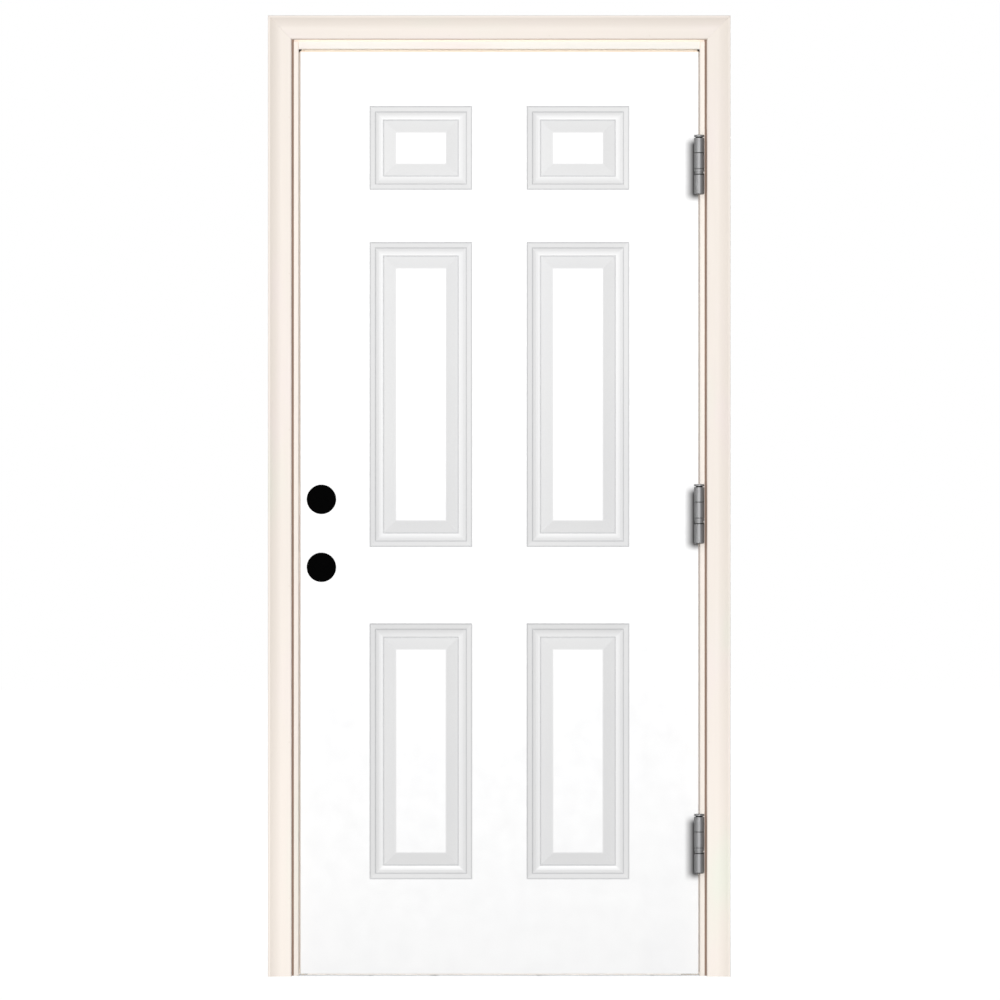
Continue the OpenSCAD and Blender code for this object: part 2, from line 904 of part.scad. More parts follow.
// Block as large as the slab's face, with the panels pressed into it
module pressed_block(face_y, spread) {
    difference() {
        translate([door_x0 - spread, face_y, door_z0 - spread])
            cube([door_w + 2 * spread, pressing_d - face_y + spread, door_h + 2 * spread]);
        panel_tools(face_y);
    }
}

// One pressed sheet with its returns over the slab's upright edges
module pressed_skin() {
    difference() {
        pressed_block(0, 0);
        pressed_block(skin_t, overrun);
    }
    for (x = [door_x0, door_x1 - skin_t])
        translate([x, 0, door_z0])
            cube([skin_t, return_w, door_h]);
}

module lock_bores() {
    for (z = lock_heights)
        translate([lock_x, -overrun, z])
            rotate([-90, 0, 0])
                cylinder(d = lock_bore_d, h = door_t + 2 * overrun);
}

module latch_bores() {
    for (z = lock_heights)
        translate([door_x0 - overrun, door_t / 2, z])
            rotate([0, 90, 0])
                cylinder(d = latch_bore_d, h = backset + overrun);
}

module exterior_skin() {
    color("white")
        difference() {
            pressed_skin();
            lock_bores();
            door_leaf_mortises();
        }
}

module interior_skin() {
    color("white")
        difference() {
            from_inner_face()
                pressed_skin();
            lock_bores();
        }
}

module foam_core() {
    color("khaki")
        difference() {
            translate([stile_in, cover_t, door_z0 + rail_h])
                cube([rail_l, core_t, door_h - 2 * rail_h]);
            panel_tools(cover_t);
            from_inner_face()
                panel_tools(cover_t);
            translate([stile_in - overrun, 0, block_z])
                cube([lock_block_w + overrun, door_t, lock_block_h]);
        }
}

// Full-height stile, rebated where the skins' returns lie over its edge
module stile(width) {
    rebate = skin_t + glue_t;
    difference() {
        translate([0, cover_t, door_z0])
            cube([width, core_t, door_h]);
        for (y = [-overrun, door_t - return_w - glue_t])
            translate([-overrun, y, door_z0 - overrun])
                cube([overrun + rebate, overrun + return_w + glue_t, door_h + 2 * overrun]);
    }
}

module lock_stile() {
    color("burlywood")
        difference() {
            translate([door_x0, 0, 0])
                stile(lock_stile_w);
            latch_bores();
            for (z = lock_heights)
                translate([door_x0 - overrun, (door_t - faceplate_w) / 2, z - faceplate_h / 2])
                    cube([faceplate_d + overrun, faceplate_w, faceplate_h]);
        }
}

module hinge_stile() {
    color("burlywood")
        difference() {
            translate([door_x1, 0, 0])
                mirror([1, 0, 0])
                    stile(hinge_stile_w);
            door_leaf_mortises();
            for (z = hinge_heights)
                leaf_screw_places(z, door_x1, -90)
                    screw_hole(hinge_screw_l);
        }
}

module top_rail() {
    color("burlywood")
        translate([stile_in, cover_t, door_z1 - rail_h])
            cube([rail_l, core_t, rail_h]);
}

module bottom_rail() {
    color("burlywood")
        difference() {
            translate([stile_in, cover_t, door_z0])
                cube([rail_l, core_t, rail_h]);
            translate([stile_in - overrun, (door_t - kerf_w) / 2, door_z0 - overrun])
                cube([rail_l + 2 * overrun, kerf_w, overrun + kerf_d]);
        }
}

module lock_block() {
    color("burlywood")
        difference() {
            translate([stile_in, cover_t, block_z])
                cube([lock_block_w, core_t, lock_block_h]);
            lock_bores();
            latch_bores();
        }
}

// Sweep under the slab: a fin in the bottom rail's kerf, a base and two wipers just clear of the lip
module door_bottom_seal() {
    mid = door_t / 2;
    base_z = door_z0 - sweep_t;
    tip_z = lip_t + seal_clear;
    color("dimgray")
        translate([(stile_in + hinge_stile_in) / 2, 0, 0])
            along_x(rail_l)
                polygon([
                    [mid - sweep_w / 2, door_z0], [mid - sweep_w / 2, tip_z],
                    [mid - sweep_w / 2 + wiper_t, tip_z], [mid - sweep_w / 2 + wiper_t, base_z],
                    [mid + sweep_w / 2 - wiper_t, base_z], [mid + sweep_w / 2 - wiper_t, tip_z],
                    [mid + sweep_w / 2, tip_z], [mid + sweep_w / 2, door_z0],
                    [mid + fin_w / 2, door_z0], [mid + fin_w / 2, door_z0 + fin_d],
                    [mid - fin_w / 2, door_z0 + fin_d], [mid - fin_w / 2, door_z0]
                ]);
}

hinge_jamb();
strike_jamb();
head_jamb();
hinge_side_brickmould();
strike_side_brickmould();
head_brickmould();
brickmould_nails();
frame_corner_screws();
sill_screws();
threshold();
threshold_seal();
hinge_side_weatherstrip();
strike_side_weatherstrip();
head_weatherstrip();
corner_pads();
upper_hinge_jamb_leaf();
middle_hinge_jamb_leaf();
lower_hinge_jamb_leaf();
upper_hinge_pin();
middle_hinge_pin();
lower_hinge_pin();
upper_hinge_bearing();
middle_hinge_bearing();
lower_hinge_bearing();
jamb_leaf_screws();
exterior_skin();
interior_skin();
foam_core();
lock_stile();
hinge_stile();
top_rail();
bottom_rail();
lock_block();
door_bottom_seal();
upper_hinge_door_leaf();
middle_hinge_door_leaf();
lower_hinge_door_leaf();
door_leaf_screws();
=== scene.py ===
"""Six-panel steel front door in its timber frame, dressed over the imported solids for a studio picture."""

import json
import logging
import math
from dataclasses import dataclass, field, replace
from enum import Enum
from typing import Iterable, Sequence

import bmesh
import bpy
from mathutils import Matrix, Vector


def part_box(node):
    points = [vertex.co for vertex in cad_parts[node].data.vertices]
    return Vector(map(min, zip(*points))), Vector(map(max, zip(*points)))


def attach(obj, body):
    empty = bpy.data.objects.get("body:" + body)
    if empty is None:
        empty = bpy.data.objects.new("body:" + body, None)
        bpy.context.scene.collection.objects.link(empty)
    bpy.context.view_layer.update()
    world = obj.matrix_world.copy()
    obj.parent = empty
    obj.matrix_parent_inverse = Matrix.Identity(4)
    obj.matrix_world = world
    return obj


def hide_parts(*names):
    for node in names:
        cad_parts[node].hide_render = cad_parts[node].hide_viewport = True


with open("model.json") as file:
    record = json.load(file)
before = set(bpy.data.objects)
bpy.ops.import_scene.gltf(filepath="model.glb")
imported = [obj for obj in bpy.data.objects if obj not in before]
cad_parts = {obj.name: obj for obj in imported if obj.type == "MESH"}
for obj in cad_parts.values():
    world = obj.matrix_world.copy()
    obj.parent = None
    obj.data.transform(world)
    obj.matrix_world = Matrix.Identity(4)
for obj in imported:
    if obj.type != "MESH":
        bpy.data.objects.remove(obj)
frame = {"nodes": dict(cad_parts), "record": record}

LOG = logging.getLogger("front_door")
MM = 0.001
WELD = 0.002 * MM
HINGES = ("upper", "middle", "lower")
Point = tuple[float, float]
Triple = tuple[float, float, float]
Colour = Triple
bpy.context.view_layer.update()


class Body(Enum):
    """The two bodies that pieces ride on."""

    FRAME = "frame"
    DOOR = "door"


class Side(Enum):
    """Which upright of the frame a piece belongs to, with the sign of its X."""

    HINGE = 1
    STRIKE = -1


class Reach(Enum):
    """What a lamp does: lights all, casts only the hinges' shadows, or lights only what it names."""

    ALL = "all"
    HINGES_SHADE = "hinges_shade"
    HINGES_LIT = "hinges_lit"
    GAPS_LIT = "gaps_lit"
    TRIM_LIT = "trim_lit"


class Face(Enum):
    """Which face of the slab a skin covers."""

    OUTER = "outer"
    INNER = "inner"


def linear(colour: Sequence[float]) -> tuple[float, float, float, float]:
    """Turns a display colour into the linear one that shaders take.

    Args:
        colour: Red, green and blue from 0 to 255.

    Returns:
        Linear red, green and blue, and an alpha of one.
    """
    parts = [c / 255 for c in colour]
    parts = [p / 12.92 if p <= 0.04045 else ((p + 0.055) / 1.055) ** 2.4 for p in parts]
    return (parts[0], parts[1], parts[2], 1.0)


def metres(*lengths: float) -> tuple[float, ...]:
    """Turns millimetres into metres."""
    return tuple(length * MM for length in lengths)


class NodeBench:
    """Lays nodes and links in one tree."""

    def __init__(self, tree: bpy.types.NodeTree) -> None:
        """Starts work on a tree."""
        self.tree = tree

    def node(self, kind: str, settings: dict | None = None, sockets: dict | None = None) -> bpy.types.Node:
        """Adds one node.

        Args:
            kind: The node's type.
            settings: Its own settings, set first.
            sockets: Values, sockets or wires for its inputs, by name or by number.

        Returns:
            The new node.
        """
        made = self.tree.nodes.new(kind)
        for name, value in (settings or {}).items():
            setattr(made, name, value)
        self.feed(made, sockets or {})
        return made

    def feed(self, node: bpy.types.Node, sockets: dict) -> None:
        """Sets or links a node's inputs.

        Args:
            node: The node.
            sockets: Values, sockets or wires for its inputs, by name or by number.
        """
        for key, value in sockets.items():
            value = value.socket if isinstance(value, Wire) else value
            if isinstance(value, bpy.types.NodeSocket):
                self.tree.links.new(value, node.inputs[key])
            else:
                node.inputs[key].default_value = value


class Wire:
    """One number on its way through a node tree; sums and products of wires add Math nodes."""

    def __init__(self, bench: NodeBench, socket: bpy.types.NodeSocket) -> None:
        """Wraps a socket that gives a number."""
        self.bench = bench
        self.socket = socket

    def _math(self, operation: str, *values: "Wire | float") -> "Wire":
        """Adds a Math node on these values and wraps its result."""
        made = self.bench.node("ShaderNodeMath", {"operation": operation}, dict(enumerate(values)))
        return Wire(self.bench, made.outputs[0])

    def __add__(self, other: "Wire | float") -> "Wire":
        """Gives the sum."""
        return self._math("ADD", self, other)

    __radd__ = __add__

    def __sub__(self, other: "Wire | float") -> "Wire":
        """Gives the difference."""
        return self._math("SUBTRACT", self, other)

    def __rsub__(self, other: float) -> "Wire":
        """Gives a number less the wire."""
        return self._math("SUBTRACT", other, self)

    def __mul__(self, other: "Wire | float") -> "Wire":
        """Gives the product."""
        return self._math("MULTIPLY", self, other)

    __rmul__ = __mul__

    def __truediv__(self, other: "Wire | float") -> "Wire":
        """Gives the quotient."""
        return self._math("DIVIDE", self, other)

    def __rtruediv__(self, other: float) -> "Wire":
        """Gives a number over the wire."""
        return self._math("DIVIDE", other, self)

    def __pow__(self, power: float) -> "Wire":
        """Gives the power."""
        return self._math("POWER", self, power)

    def __abs__(self) -> "Wire":
        """Gives the size without the sign."""
        return self._math("ABSOLUTE", self)

    def fraction(self) -> "Wire":
        """Gives what is left above the whole number."""
        return self._math("FRACT", self)

    def rise(self, start: float, end: float, curve: str = "SMOOTHSTEP") -> "Wire":
        """Gives a rise from nought at start to one at end, smooth unless another curve is named."""
        made = self.bench.node(
            "ShaderNodeMapRange", {"interpolation_type": curve},
            {"Value": self, "From Min": start, "From Max": end},
        )
        return Wire(self.bench, made.outputs["Result"])

    def band(self, low: float, high: float, soft: float) -> "Wire":
        """Gives one between two values, with soft edges."""
        return self.rise(low - soft, low + soft) * (1 - self.rise(high - soft, high + soft))


class ShaderBench(NodeBench):
    """Lays the nodes of one material, on Object coordinates."""

    def __init__(self, tree: bpy.types.NodeTree) -> None:
        """Starts with the piece's own coordinates."""
        super().__init__(tree)
        self.place = self.node("ShaderNodeTexCoord").outputs["Object"]

    def axes(self) -> tuple[Wire, Wire, Wire]:
        """Gives X, Y and Z, in metres."""
        made = self.node("ShaderNodeSeparateXYZ", {}, {"Vector": self.place})
        return tuple(Wire(self, made.outputs[i]) for i in range(3))

    def stretched(self, scale: Sequence[float]) -> bpy.types.NodeSocket:
        """Gives the coordinates scaled along each axis."""
        return self.node("ShaderNodeMapping", {}, {"Vector": self.place, "Scale": scale}).outputs[0]

    def noise(self, scale: float, detail: float, stretch: Sequence[float] = (1, 1, 1),
              rough: float = 0.55) -> Wire:
        """Gives soft noise from about 0 to 1.

        Args:
            scale: Waves in a metre.
            detail: Octaves.
            stretch: Scale along each axis.
            rough: Strength of each octave beside the one before.

        Returns:
            The noise.
        """
        made = self.node(
            "ShaderNodeTexNoise", {},
            {"Vector": self.stretched(stretch), "Scale": scale, "Detail": detail, "Roughness": rough},
        )
        return Wire(self, made.outputs["Fac"])

    def mix(self, factor: Wire, low: Sequence[float] | bpy.types.NodeSocket,
            high: Sequence[float] | bpy.types.NodeSocket) -> bpy.types.NodeSocket:
        """Gives a colour between two, by a factor."""
        made = self.node("ShaderNodeMix", {"data_type": "RGBA"}, {0: factor, 6: low, 7: high})
        return made.outputs[2]

    def bump(self, height: Wire, distance: float) -> bpy.types.NodeSocket:
        """Gives a normal bent by a height of so many metres."""
        made = self.node("ShaderNodeBump", {}, {"Strength": 1.0, "Distance": distance, "Height": height})
        return made.outputs[0]

    def surface(self, shader: bpy.types.Node) -> None:
        """Ends the material in a shader."""
        self.node("ShaderNodeOutputMaterial", {}, {"Surface": shader.outputs[0]})


Paint = dict[str, Wire | bpy.types.NodeSocket]


def blank_material(name: str) -> tuple[bpy.types.Material, ShaderBench]:
    """Makes an empty material, with a bench for its nodes."""
    made = bpy.data.materials.new(name)
    made.use_nodes = True
    made.node_tree.nodes.clear()
    return made, ShaderBench(made.node_tree)


def drawn_out(share: float, upright: bool) -> Triple:
    """Gives the scale that draws noise out along a standing or a lying piece."""
    return (1, 1, share) if upright else (share, 1, 1)


@dataclass(frozen=True)
class Finish:
    """What a surface is made of, how it takes the light, and how deep its relief is, in metres."""

    name: str
    slot: str
    colour: Colour
    roughness: float
    metallic: float = 0.0
    specular: float = 0.5
    coat: float = 0.0
    coat_roughness: float = 0.3
    relief: float = 0.00002

    def material(self) -> bpy.types.Material:
        """Makes the material, once."""
        made = bpy.data.materials.get(self.name)
        if made is None:
            made, bench = blank_material(self.name)
            shader = bench.node("ShaderNodeBsdfPrincipled", {}, {
                "Base Color": linear(self.colour), "Roughness": self.roughness,
                "Metallic": self.metallic, "Specular IOR Level": self.specular,
                "Coat Weight": self.coat, "Coat Roughness": self.coat_roughness,
            })
            bench.surface(shader)
            bench.feed(shader, self.paint(bench))
        return made

    def paint(self, bench: ShaderBench) -> Paint:
        """Gives what varies over the surface, by the shader's socket."""
        raise NotImplementedError


@dataclass(frozen=True)
class PrimedSteel(Finish):
    """Factory primer on pressed sheet: a fine orange peel, hardly any colour, and painted shade in the
    creases.
    """

    shade: Colour = (246, 246, 247)
    thin: Colour = (219, 220, 221)
    relief: float = 0.00004

    def paint(self, bench: ShaderBench) -> Paint:
        """Gives the peel, the faint clouding, the painted shade in the creases and the gloss."""
        peel = bench.noise(330.0, 2.0)
        cloud = bench.noise(2.3, 4.0)
        handled = bench.noise(26.0, 5.0)
        crease = Wire(bench, bench.node("ShaderNodeAttribute", {"attribute_name": "crease"}).outputs["Fac"])
        colour = bench.mix(cloud.rise(0.35, 0.8), linear(self.colour), linear(self.shade))
        return {
            # Painted shade: the crease attribute darkens the moulding's creases towards thin.
            "Base Color": bench.mix(crease, colour, linear(self.thin)),
            "Roughness": self.roughness + 0.07 * (handled - 0.5),
            "Normal": bench.bump(peel, self.relief),
        }


@dataclass(frozen=True)
class PrimedTimber(Finish):
    """Cream primer on straight timber, with faint streaks along the grain and warm and cool patches."""

    warm: Colour = (255, 243, 237)
    cool: Colour = (247, 248, 234)
    streak: Colour = (246, 235, 225)
    upright: bool = True
    relief: float = 0.00009

    def cream(self, bench: ShaderBench) -> tuple[bpy.types.NodeSocket, Wire]:
        """Lays the primer itself.

        Args:
            bench: The material's bench.

        Returns:
            The colour, and the height of the raised grain.
        """
        along = drawn_out(0.02, self.upright)
        patch = drawn_out(0.35, self.upright)
        grain = bench.noise(420.0, 4.0, along)
        streaks = bench.noise(95.0, 3.0, along)
        warmth = bench.noise(9.0, 2.0, patch)
        coolth = bench.noise(6.5, 2.0, patch)
        colour = bench.mix(warmth.rise(0.5, 0.78), linear(self.colour), linear(self.warm))
        colour = bench.mix(coolth.rise(0.54, 0.8), colour, linear(self.cool))
        colour = bench.mix(streaks.rise(0.58, 0.9) * 0.5, colour, linear(self.streak))
        return colour, grain


@dataclass(frozen=True)
class JambTimber(PrimedTimber):
    """Primed jambs with painted shade in the shadow groove beside the brickmould: dark brown on the sides
    and pale tan along the head.
    """

    side_brown: Colour = (180, 150, 132)
    mottled: float = 0.86
    head_tan: Colour = (252, 240, 228)
    side_from: float = 446.4
    side_to: float = 451.5
    head_from: float = 2031.1
    head_to: float = 2036.3
    mouth: Point = (0.2, 0.9)
    floor: Point = (10.3, 10.8)
    soft: float = 0.1

    def paint(self, bench: ShaderBench) -> Paint:
        """Gives the primer with painted shade in the two grooves over it."""
        colour, grain = self.cream(bench)
        x, y, z = bench.axes()
        sunk = y.rise(*metres(*self.mouth)) * (1 - y.rise(*metres(*self.floor)))
        below = 1 - z.rise(*metres(self.head_to, self.head_to + 2 * self.soft))
        side = abs(x).band(*metres(self.side_from, self.side_to, self.soft)) * sunk * below
        head = z.band(*metres(self.head_from, self.head_to, self.soft)) * sunk
        mottle = bench.noise(14.0, 4.0, (1, 1, 0.4))
        # Painted shade: the grooves are coloured dark brown on the sides and pale tan at the head, where
        # their shade falls.
        darker = [part * self.mottled for part in self.side_brown]
        groove_shade_mix = bench.mix(mottle, linear(self.side_brown), linear(darker))
        colour = bench.mix(head, colour, linear(self.head_tan))
        colour = bench.mix(side, colour, groove_shade_mix)
        return {
            "Base Color": colour,
            "Roughness": self.roughness + 0.1 * (grain - 0.5) + 0.25 * side,
            "Normal": bench.bump(grain, self.relief),
        }


@dataclass(frozen=True)
class MouldTimber(PrimedTimber):
    """Primed brickmould with filler over its set nails."""

    nail_x: float = 456.05
    nail_pitch: float = 339.333
    filler: Colour = (250, 240, 229)
    filler_r: float = 1.9
    filler_core: float = 0.7
    front: Point = (-23.0, -22.0)

    def paint(self, bench: ShaderBench) -> Paint:
        """Gives the primer with its rows of filled nail holes."""
        colour, grain = self.cream(bench)
        x, y, z = bench.axes()
        across, run = (abs(x), z) if self.upright else (z, x)
        pitch = self.nail_pitch * MM
        step = ((run / pitch).fraction() - 0.5) * pitch
        off = across - self.nail_x * MM
        reach = (step * step + off * off) ** 0.5
        disc = 1 - reach.rise(*metres(self.filler_core * self.filler_r, self.filler_r))
        spot = disc * (1 - y.rise(*metres(*self.front)))
        return {
            "Base Color": bench.mix(spot, colour, linear(self.filler)),
            "Roughness": self.roughness + 0.1 * (grain - 0.5) + 0.15 * spot,
            "Normal": bench.bump(grain - 0.6 * spot, self.relief),
        }


@dataclass(frozen=True)
class BareTimber(Finish):
    """Unpainted softwood with growth rings drawn out along the grain."""

    dark: Colour = (200, 164, 116)
    upright: bool = True
    relief: float = 0.00015

    def paint(self, bench: ShaderBench) -> Paint:
        """Gives the rings, the fibres and their roughness."""
        along = drawn_out(0.03, self.upright)
        rings = bench.node("ShaderNodeTexWave", {"bands_direction": "Y"}, {
            "Vector": bench.stretched(along), "Scale": 38.0, "Distortion": 6.0, "Detail": 2.0,
            "Detail Scale": 1.2,
        })
        ring = Wire(bench, rings.outputs["Fac"])
        fibre = bench.noise(900.0, 3.0, along)
        factor = 0.55 * ring + 0.4 * (fibre - 0.3)
        return {
            "Base Color": bench.mix(factor, linear(self.colour), linear(self.dark)),
            "Roughness": self.roughness + 0.15 * (fibre - 0.5),
            "Normal": bench.bump(fibre, self.relief),
        }


@dataclass(frozen=True)
class RigidFoam(Finish):
    """Blown foam with small cells."""

    dark: Colour = (188, 168, 104)
    relief: float = 0.0006

    def paint(self, bench: ShaderBench) -> Paint:
        """Gives the cells as colour and as bump."""
        cells = bench.node("ShaderNodeTexVoronoi", {}, {"Vector": bench.place, "Scale": 700.0})
        depth = Wire(bench, cells.outputs["Distance"])
        return {
            "Base Color": bench.mix(depth, linear(self.colour), linear(self.dark)),
            "Roughness": self.roughness + 0.08 * (depth - 0.5),
            "Normal": bench.bump(depth, self.relief),
        }


@dataclass(frozen=True)
class SatinSteel(Finish):
    """Plated hinge steel, brushed round its barrel and along its leaves, with painted shade along the
    barrel's seams.
    """

    dark: Colour = (127, 127, 128)
    grime: Colour = (34, 33, 32)
    seams: tuple[Triple, ...] = ()

    def paint(self, bench: ShaderBench) -> Paint:
        """Gives the brushing, the speckle of the plating, the painted shade at the seams and the gloss."""
        brushed = bench.noise(260.0, 3.0, (1, 1, 14))
        drawn = bench.noise(700.0, 2.0, (1, 1, 0.05))
        speckle = bench.noise(1500.0, 2.0)
        factor = 0.45 * brushed + 0.35 * drawn + 0.5 * speckle.rise(0.55, 0.8) - 0.2
        colour = bench.mix(factor, linear(self.colour), linear(self.dark))
        z = bench.axes()[2]
        # Painted shade: each seam of the barrel is darkened towards grime.
        for height, reach, strength in self.seams:
            near = 1 - abs(z - height).rise(0.45 * reach * MM, reach * MM)
            colour = bench.mix(near * strength, colour, linear(self.grime))
        return {
            "Base Color": colour,
            "Roughness": self.roughness + 0.16 * (brushed - 0.5) + 0.08 * (speckle - 0.5),
            "Normal": bench.bump(brushed + 0.6 * drawn, self.relief),
        }


@dataclass(frozen=True)
class ZincPlate(Finish):
    """Bright zinc on screws and nails, clouded as plating is."""

    dark: Colour = (128, 130, 126)

    def paint(self, bench: ShaderBench) -> Paint:
        """Gives the clouding and its gloss."""
        cloud = bench.noise(420.0, 4.0)
        return {
            "Base Color": bench.mix(cloud.rise(0.3, 0.75), linear(self.colour), linear(self.dark)),
            "Roughness": self.roughness + 0.2 * (cloud - 0.5),
            "Normal": bench.bump(cloud, self.relief),
        }


@dataclass(frozen=True)
class MillAluminium(Finish):
    """Extruded aluminium with die lines along its length and a few scuffs."""

    scuff: Colour = (150, 151, 153)
    relief: float = 0.00003

    def paint(self, bench: ShaderBench) -> Paint:
        """Gives the die lines, the scuffs and their gloss."""
        lines = bench.noise(900.0, 2.0, (0.01, 1, 1))
        scuffs = bench.noise(34.0, 5.0, (0.5, 1, 1)).rise(0.55, 0.72)
        return {
            "Base Color": bench.mix(0.5 * lines + 0.4 * scuffs, linear(self.colour), linear(self.scuff)),
            "Roughness": self.roughness + 0.18 * (lines - 0.5) + 0.12 * scuffs,
            "Normal": bench.bump(lines, self.relief),
        }


@dataclass(frozen=True)
class SoftSeal(Finish):
    """Extruded vinyl, or foam with a smooth skin: slight mottling and fine pores."""

    dark: Colour = (220, 218, 214)
    pores: float = 900.0
    relief: float = 0.00006

    def paint(self, bench: ShaderBench) -> Paint:
        """Gives the mottling and the pores."""
        mottle = bench.noise(60.0, 4.0)
        pore = bench.noise(self.pores, 2.0)
        return {
            "Base Color": bench.mix(0.7 * mottle + 0.3 * pore, linear(self.colour), linear(self.dark)),
            "Roughness": self.roughness + 0.12 * (pore - 0.5),
            "Normal": bench.bump(pore, self.relief),
        }


@dataclass(frozen=True)
class MouldedPlastic(Finish):
    """Black moulded plastic with a fine spark-eroded grain."""

    dark: Colour = (1, 1, 1)

    def paint(self, bench: ShaderBench) -> Paint:
        """Gives the grain."""
        grain = bench.noise(1300.0, 3.0)
        return {
            "Base Color": bench.mix(grain, linear(self.colour), linear(self.dark)),
            "Roughness": self.roughness + 0.1 * (grain - 0.5),
            "Normal": bench.bump(grain, self.relief),
        }


PRIMED_STEEL = PrimedSteel("primed_steel", "skin_steel", (250, 250, 250), 0.36)
JAMB_CREAM = JambTimber("jamb_cream", "jamb_timber", (255, 247, 238), 0.5)
# A lighter copy of the jamb primer for the head jamb: painted light that makes up for the shade under the
# head moulding.
HEAD_CREAM_PAINTED_LIGHT = JambTimber("head_cream", "jamb_timber", (255, 252, 245), 0.5, upright=False)
MOULD_CREAM = MouldTimber("mould_cream", "brickmould_timber", (254, 244, 234), 0.48)
HEAD_MOULD_CREAM = MouldTimber(
    "head_mould_cream", "brickmould_timber", (254, 244, 234), 0.48,
    upright=False, nail_x=2043.5, nail_pitch=217.75,
)
STILE_PINE = BareTimber("stile_pine", "stile_timber", (232, 204, 160), 0.62)
RAIL_PINE = BareTimber("rail_pine", "stile_timber", (232, 204, 160), 0.62, upright=False)
CORE_FOAM = RigidFoam("core_foam_cells", "core_foam", (226, 212, 150), 0.9)
HINGE_SATIN = SatinSteel("hinge_satin", "hinge_steel", (173, 173, 174), 0.62, 1.0, coat=0.18)
ZINC = ZincPlate("zinc_plate", "fasteners", (190, 192, 188), 0.34, 1.0)
ALUMINIUM = MillAluminium("mill_aluminium", "threshold_metal", (204, 206, 208), 0.6, 1.0)
VINYL = SoftSeal("grey_vinyl", "seal_vinyl", (236, 234, 231), 0.58)
WEATHER_FOAM = SoftSeal(
    "weather_foam", "weatherstrip", (254, 245, 235), 0.7, dark=(247, 234, 221), pores=500.0,
)
PAD_FOAM = SoftSeal("pad_foam", "corner_pad_foam", (72, 54, 44), 0.9, dark=(40, 30, 26), pores=700.0)
# Near black with almost no gloss: painted shade standing for the dark inside of the open lock bores.
PLUG_BORE_SHADE = MouldedPlastic("plug_black", "seal_vinyl", (4, 4, 4), 0.9, specular=0.04)

CAD_FINISHES: dict[str, Finish] = {
    "foam_core": CORE_FOAM,
    "lock_stile": STILE_PINE, "hinge_stile": STILE_PINE, "lock_block": STILE_PINE,
    "top_rail": RAIL_PINE, "bottom_rail": RAIL_PINE,
    "threshold": ALUMINIUM, "threshold_seal": VINYL, "door_bottom_seal": VINYL,
    "hinge_side_weatherstrip": WEATHER_FOAM, "strike_side_weatherstrip": WEATHER_FOAM,
    "head_weatherstrip": WEATHER_FOAM, "corner_pads": PAD_FOAM,
    "brickmould_nails": ZINC,
}


def filleted(points: Sequence[Point], radius: float, steps: int = 3, straight: float = 4.0,
             leg_share: float = 0.42) -> list[Point]:
    """Rounds the inner corners of an open outline.

    Args:
        points: The outline.
        radius: The rounding, limited by the legs beside each corner.
        steps: Pieces in each rounding.
        straight: Turn, in degrees, under which a corner is left as it is.
        leg_share: The most of a leg that a rounding takes.

    Returns:
        The outline with its corners rounded.
    """
    out = [tuple(points[0])]
    for before, at, after in zip(points, points[1:], points[2:]):
        a, p, b = Vector(before), Vector(at), Vector(after)
        da, db = (a - p), (b - p)
        turn = math.pi - da.angle(db)
        if turn < math.radians(straight):
            out.append(tuple(at))
            continue
        reach = min(radius * math.tan(turn / 2), leg_share * da.length, leg_share * db.length)
        start, end = p + da.normalized() * reach, p + db.normalized() * reach
        for i in range(steps + 1):
            t = i / steps
            out.append(tuple((1 - t) ** 2 * start + 2 * t * (1 - t) * p + t * t * end))
    out.append(tuple(points[-1]))
    return out


def arc(centre: Point, radius: float, start: float, end: float, steps: int) -> list[Point]:
    """Gives points along an arc, with angles in degrees."""
    angles = [math.radians(start + (end - start) * i / steps) for i in range(steps + 1)]
    return [(centre[0] + radius * math.cos(a), centre[1] + radius * math.sin(a)) for a in angles]


def new_object(name: str, mesh: bpy.types.Mesh) -> bpy.types.Object:
    """Puts a mesh in the scene under a name."""
    made = bpy.data.objects.new(name, mesh)
    bpy.context.scene.collection.objects.link(made)
    return made


def settled(work: bmesh.types.BMesh, name: str) -> bpy.types.Object:
    """Turns a worked mesh into a named object of the scene."""
    mesh = bpy.data.meshes.new(name)
    work.to_mesh(mesh)
    work.free()
    return new_object(name, mesh)


def plain(piece: bpy.types.Object) -> bpy.types.Object:
    """Turns a piece and its modifiers into one plain mesh.

    Args:
        piece: The piece, with its modifiers.

    Returns:
        The same piece, without them.
    """
    graph = bpy.context.evaluated_depsgraph_get()
    mesh = bpy.data.meshes.new_from_object(
        piece.evaluated_get(graph), preserve_all_data_layers=True, depsgraph=graph,
    )
    old = piece.data
    piece.modifiers.clear()
    piece.data = mesh
    bpy.data.meshes.remove(old)
    mesh.name = piece.name
    return piece


def evened(piece: bpy.types.Object) -> bpy.types.Object:
    """Shades a piece smooth, with flat faces kept flat beside their roundings."""
    even = piece.modifiers.new("even", "WEIGHTED_NORMAL")
    even.mode = "FACE_AREA"
    even.keep_sharp = True
    return plain(piece)


def hand_over(piece: bpy.types.Object, finish: Finish, body: Body,
              nodes: Iterable[str] = ()) -> bpy.types.Object:
    """Dresses a finished piece and gives it to its body.

    Args:
        piece: The piece.
        finish: What it is made of.
        body: What it rides on.
        nodes: The solids that it stands for.

    Returns:
        The piece.
    """
    piece.data.materials.clear()
    piece.data.materials.append(finish.material())
    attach(piece, body.value)
    for node in nodes:
        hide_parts(node)
    LOG.info("%s: %d faces, %s, on %s", piece.name, len(piece.data.polygons), finish.name, body.value)
    return piece


def welded(node: str) -> bmesh.types.BMesh:
    """Gives a solid's mesh with its loose triangles joined up."""
    work = bmesh.new()
    work.from_mesh(frame["nodes"][node].data)
    bmesh.ops.remove_doubles(work, verts=work.verts, dist=WELD)
    return work


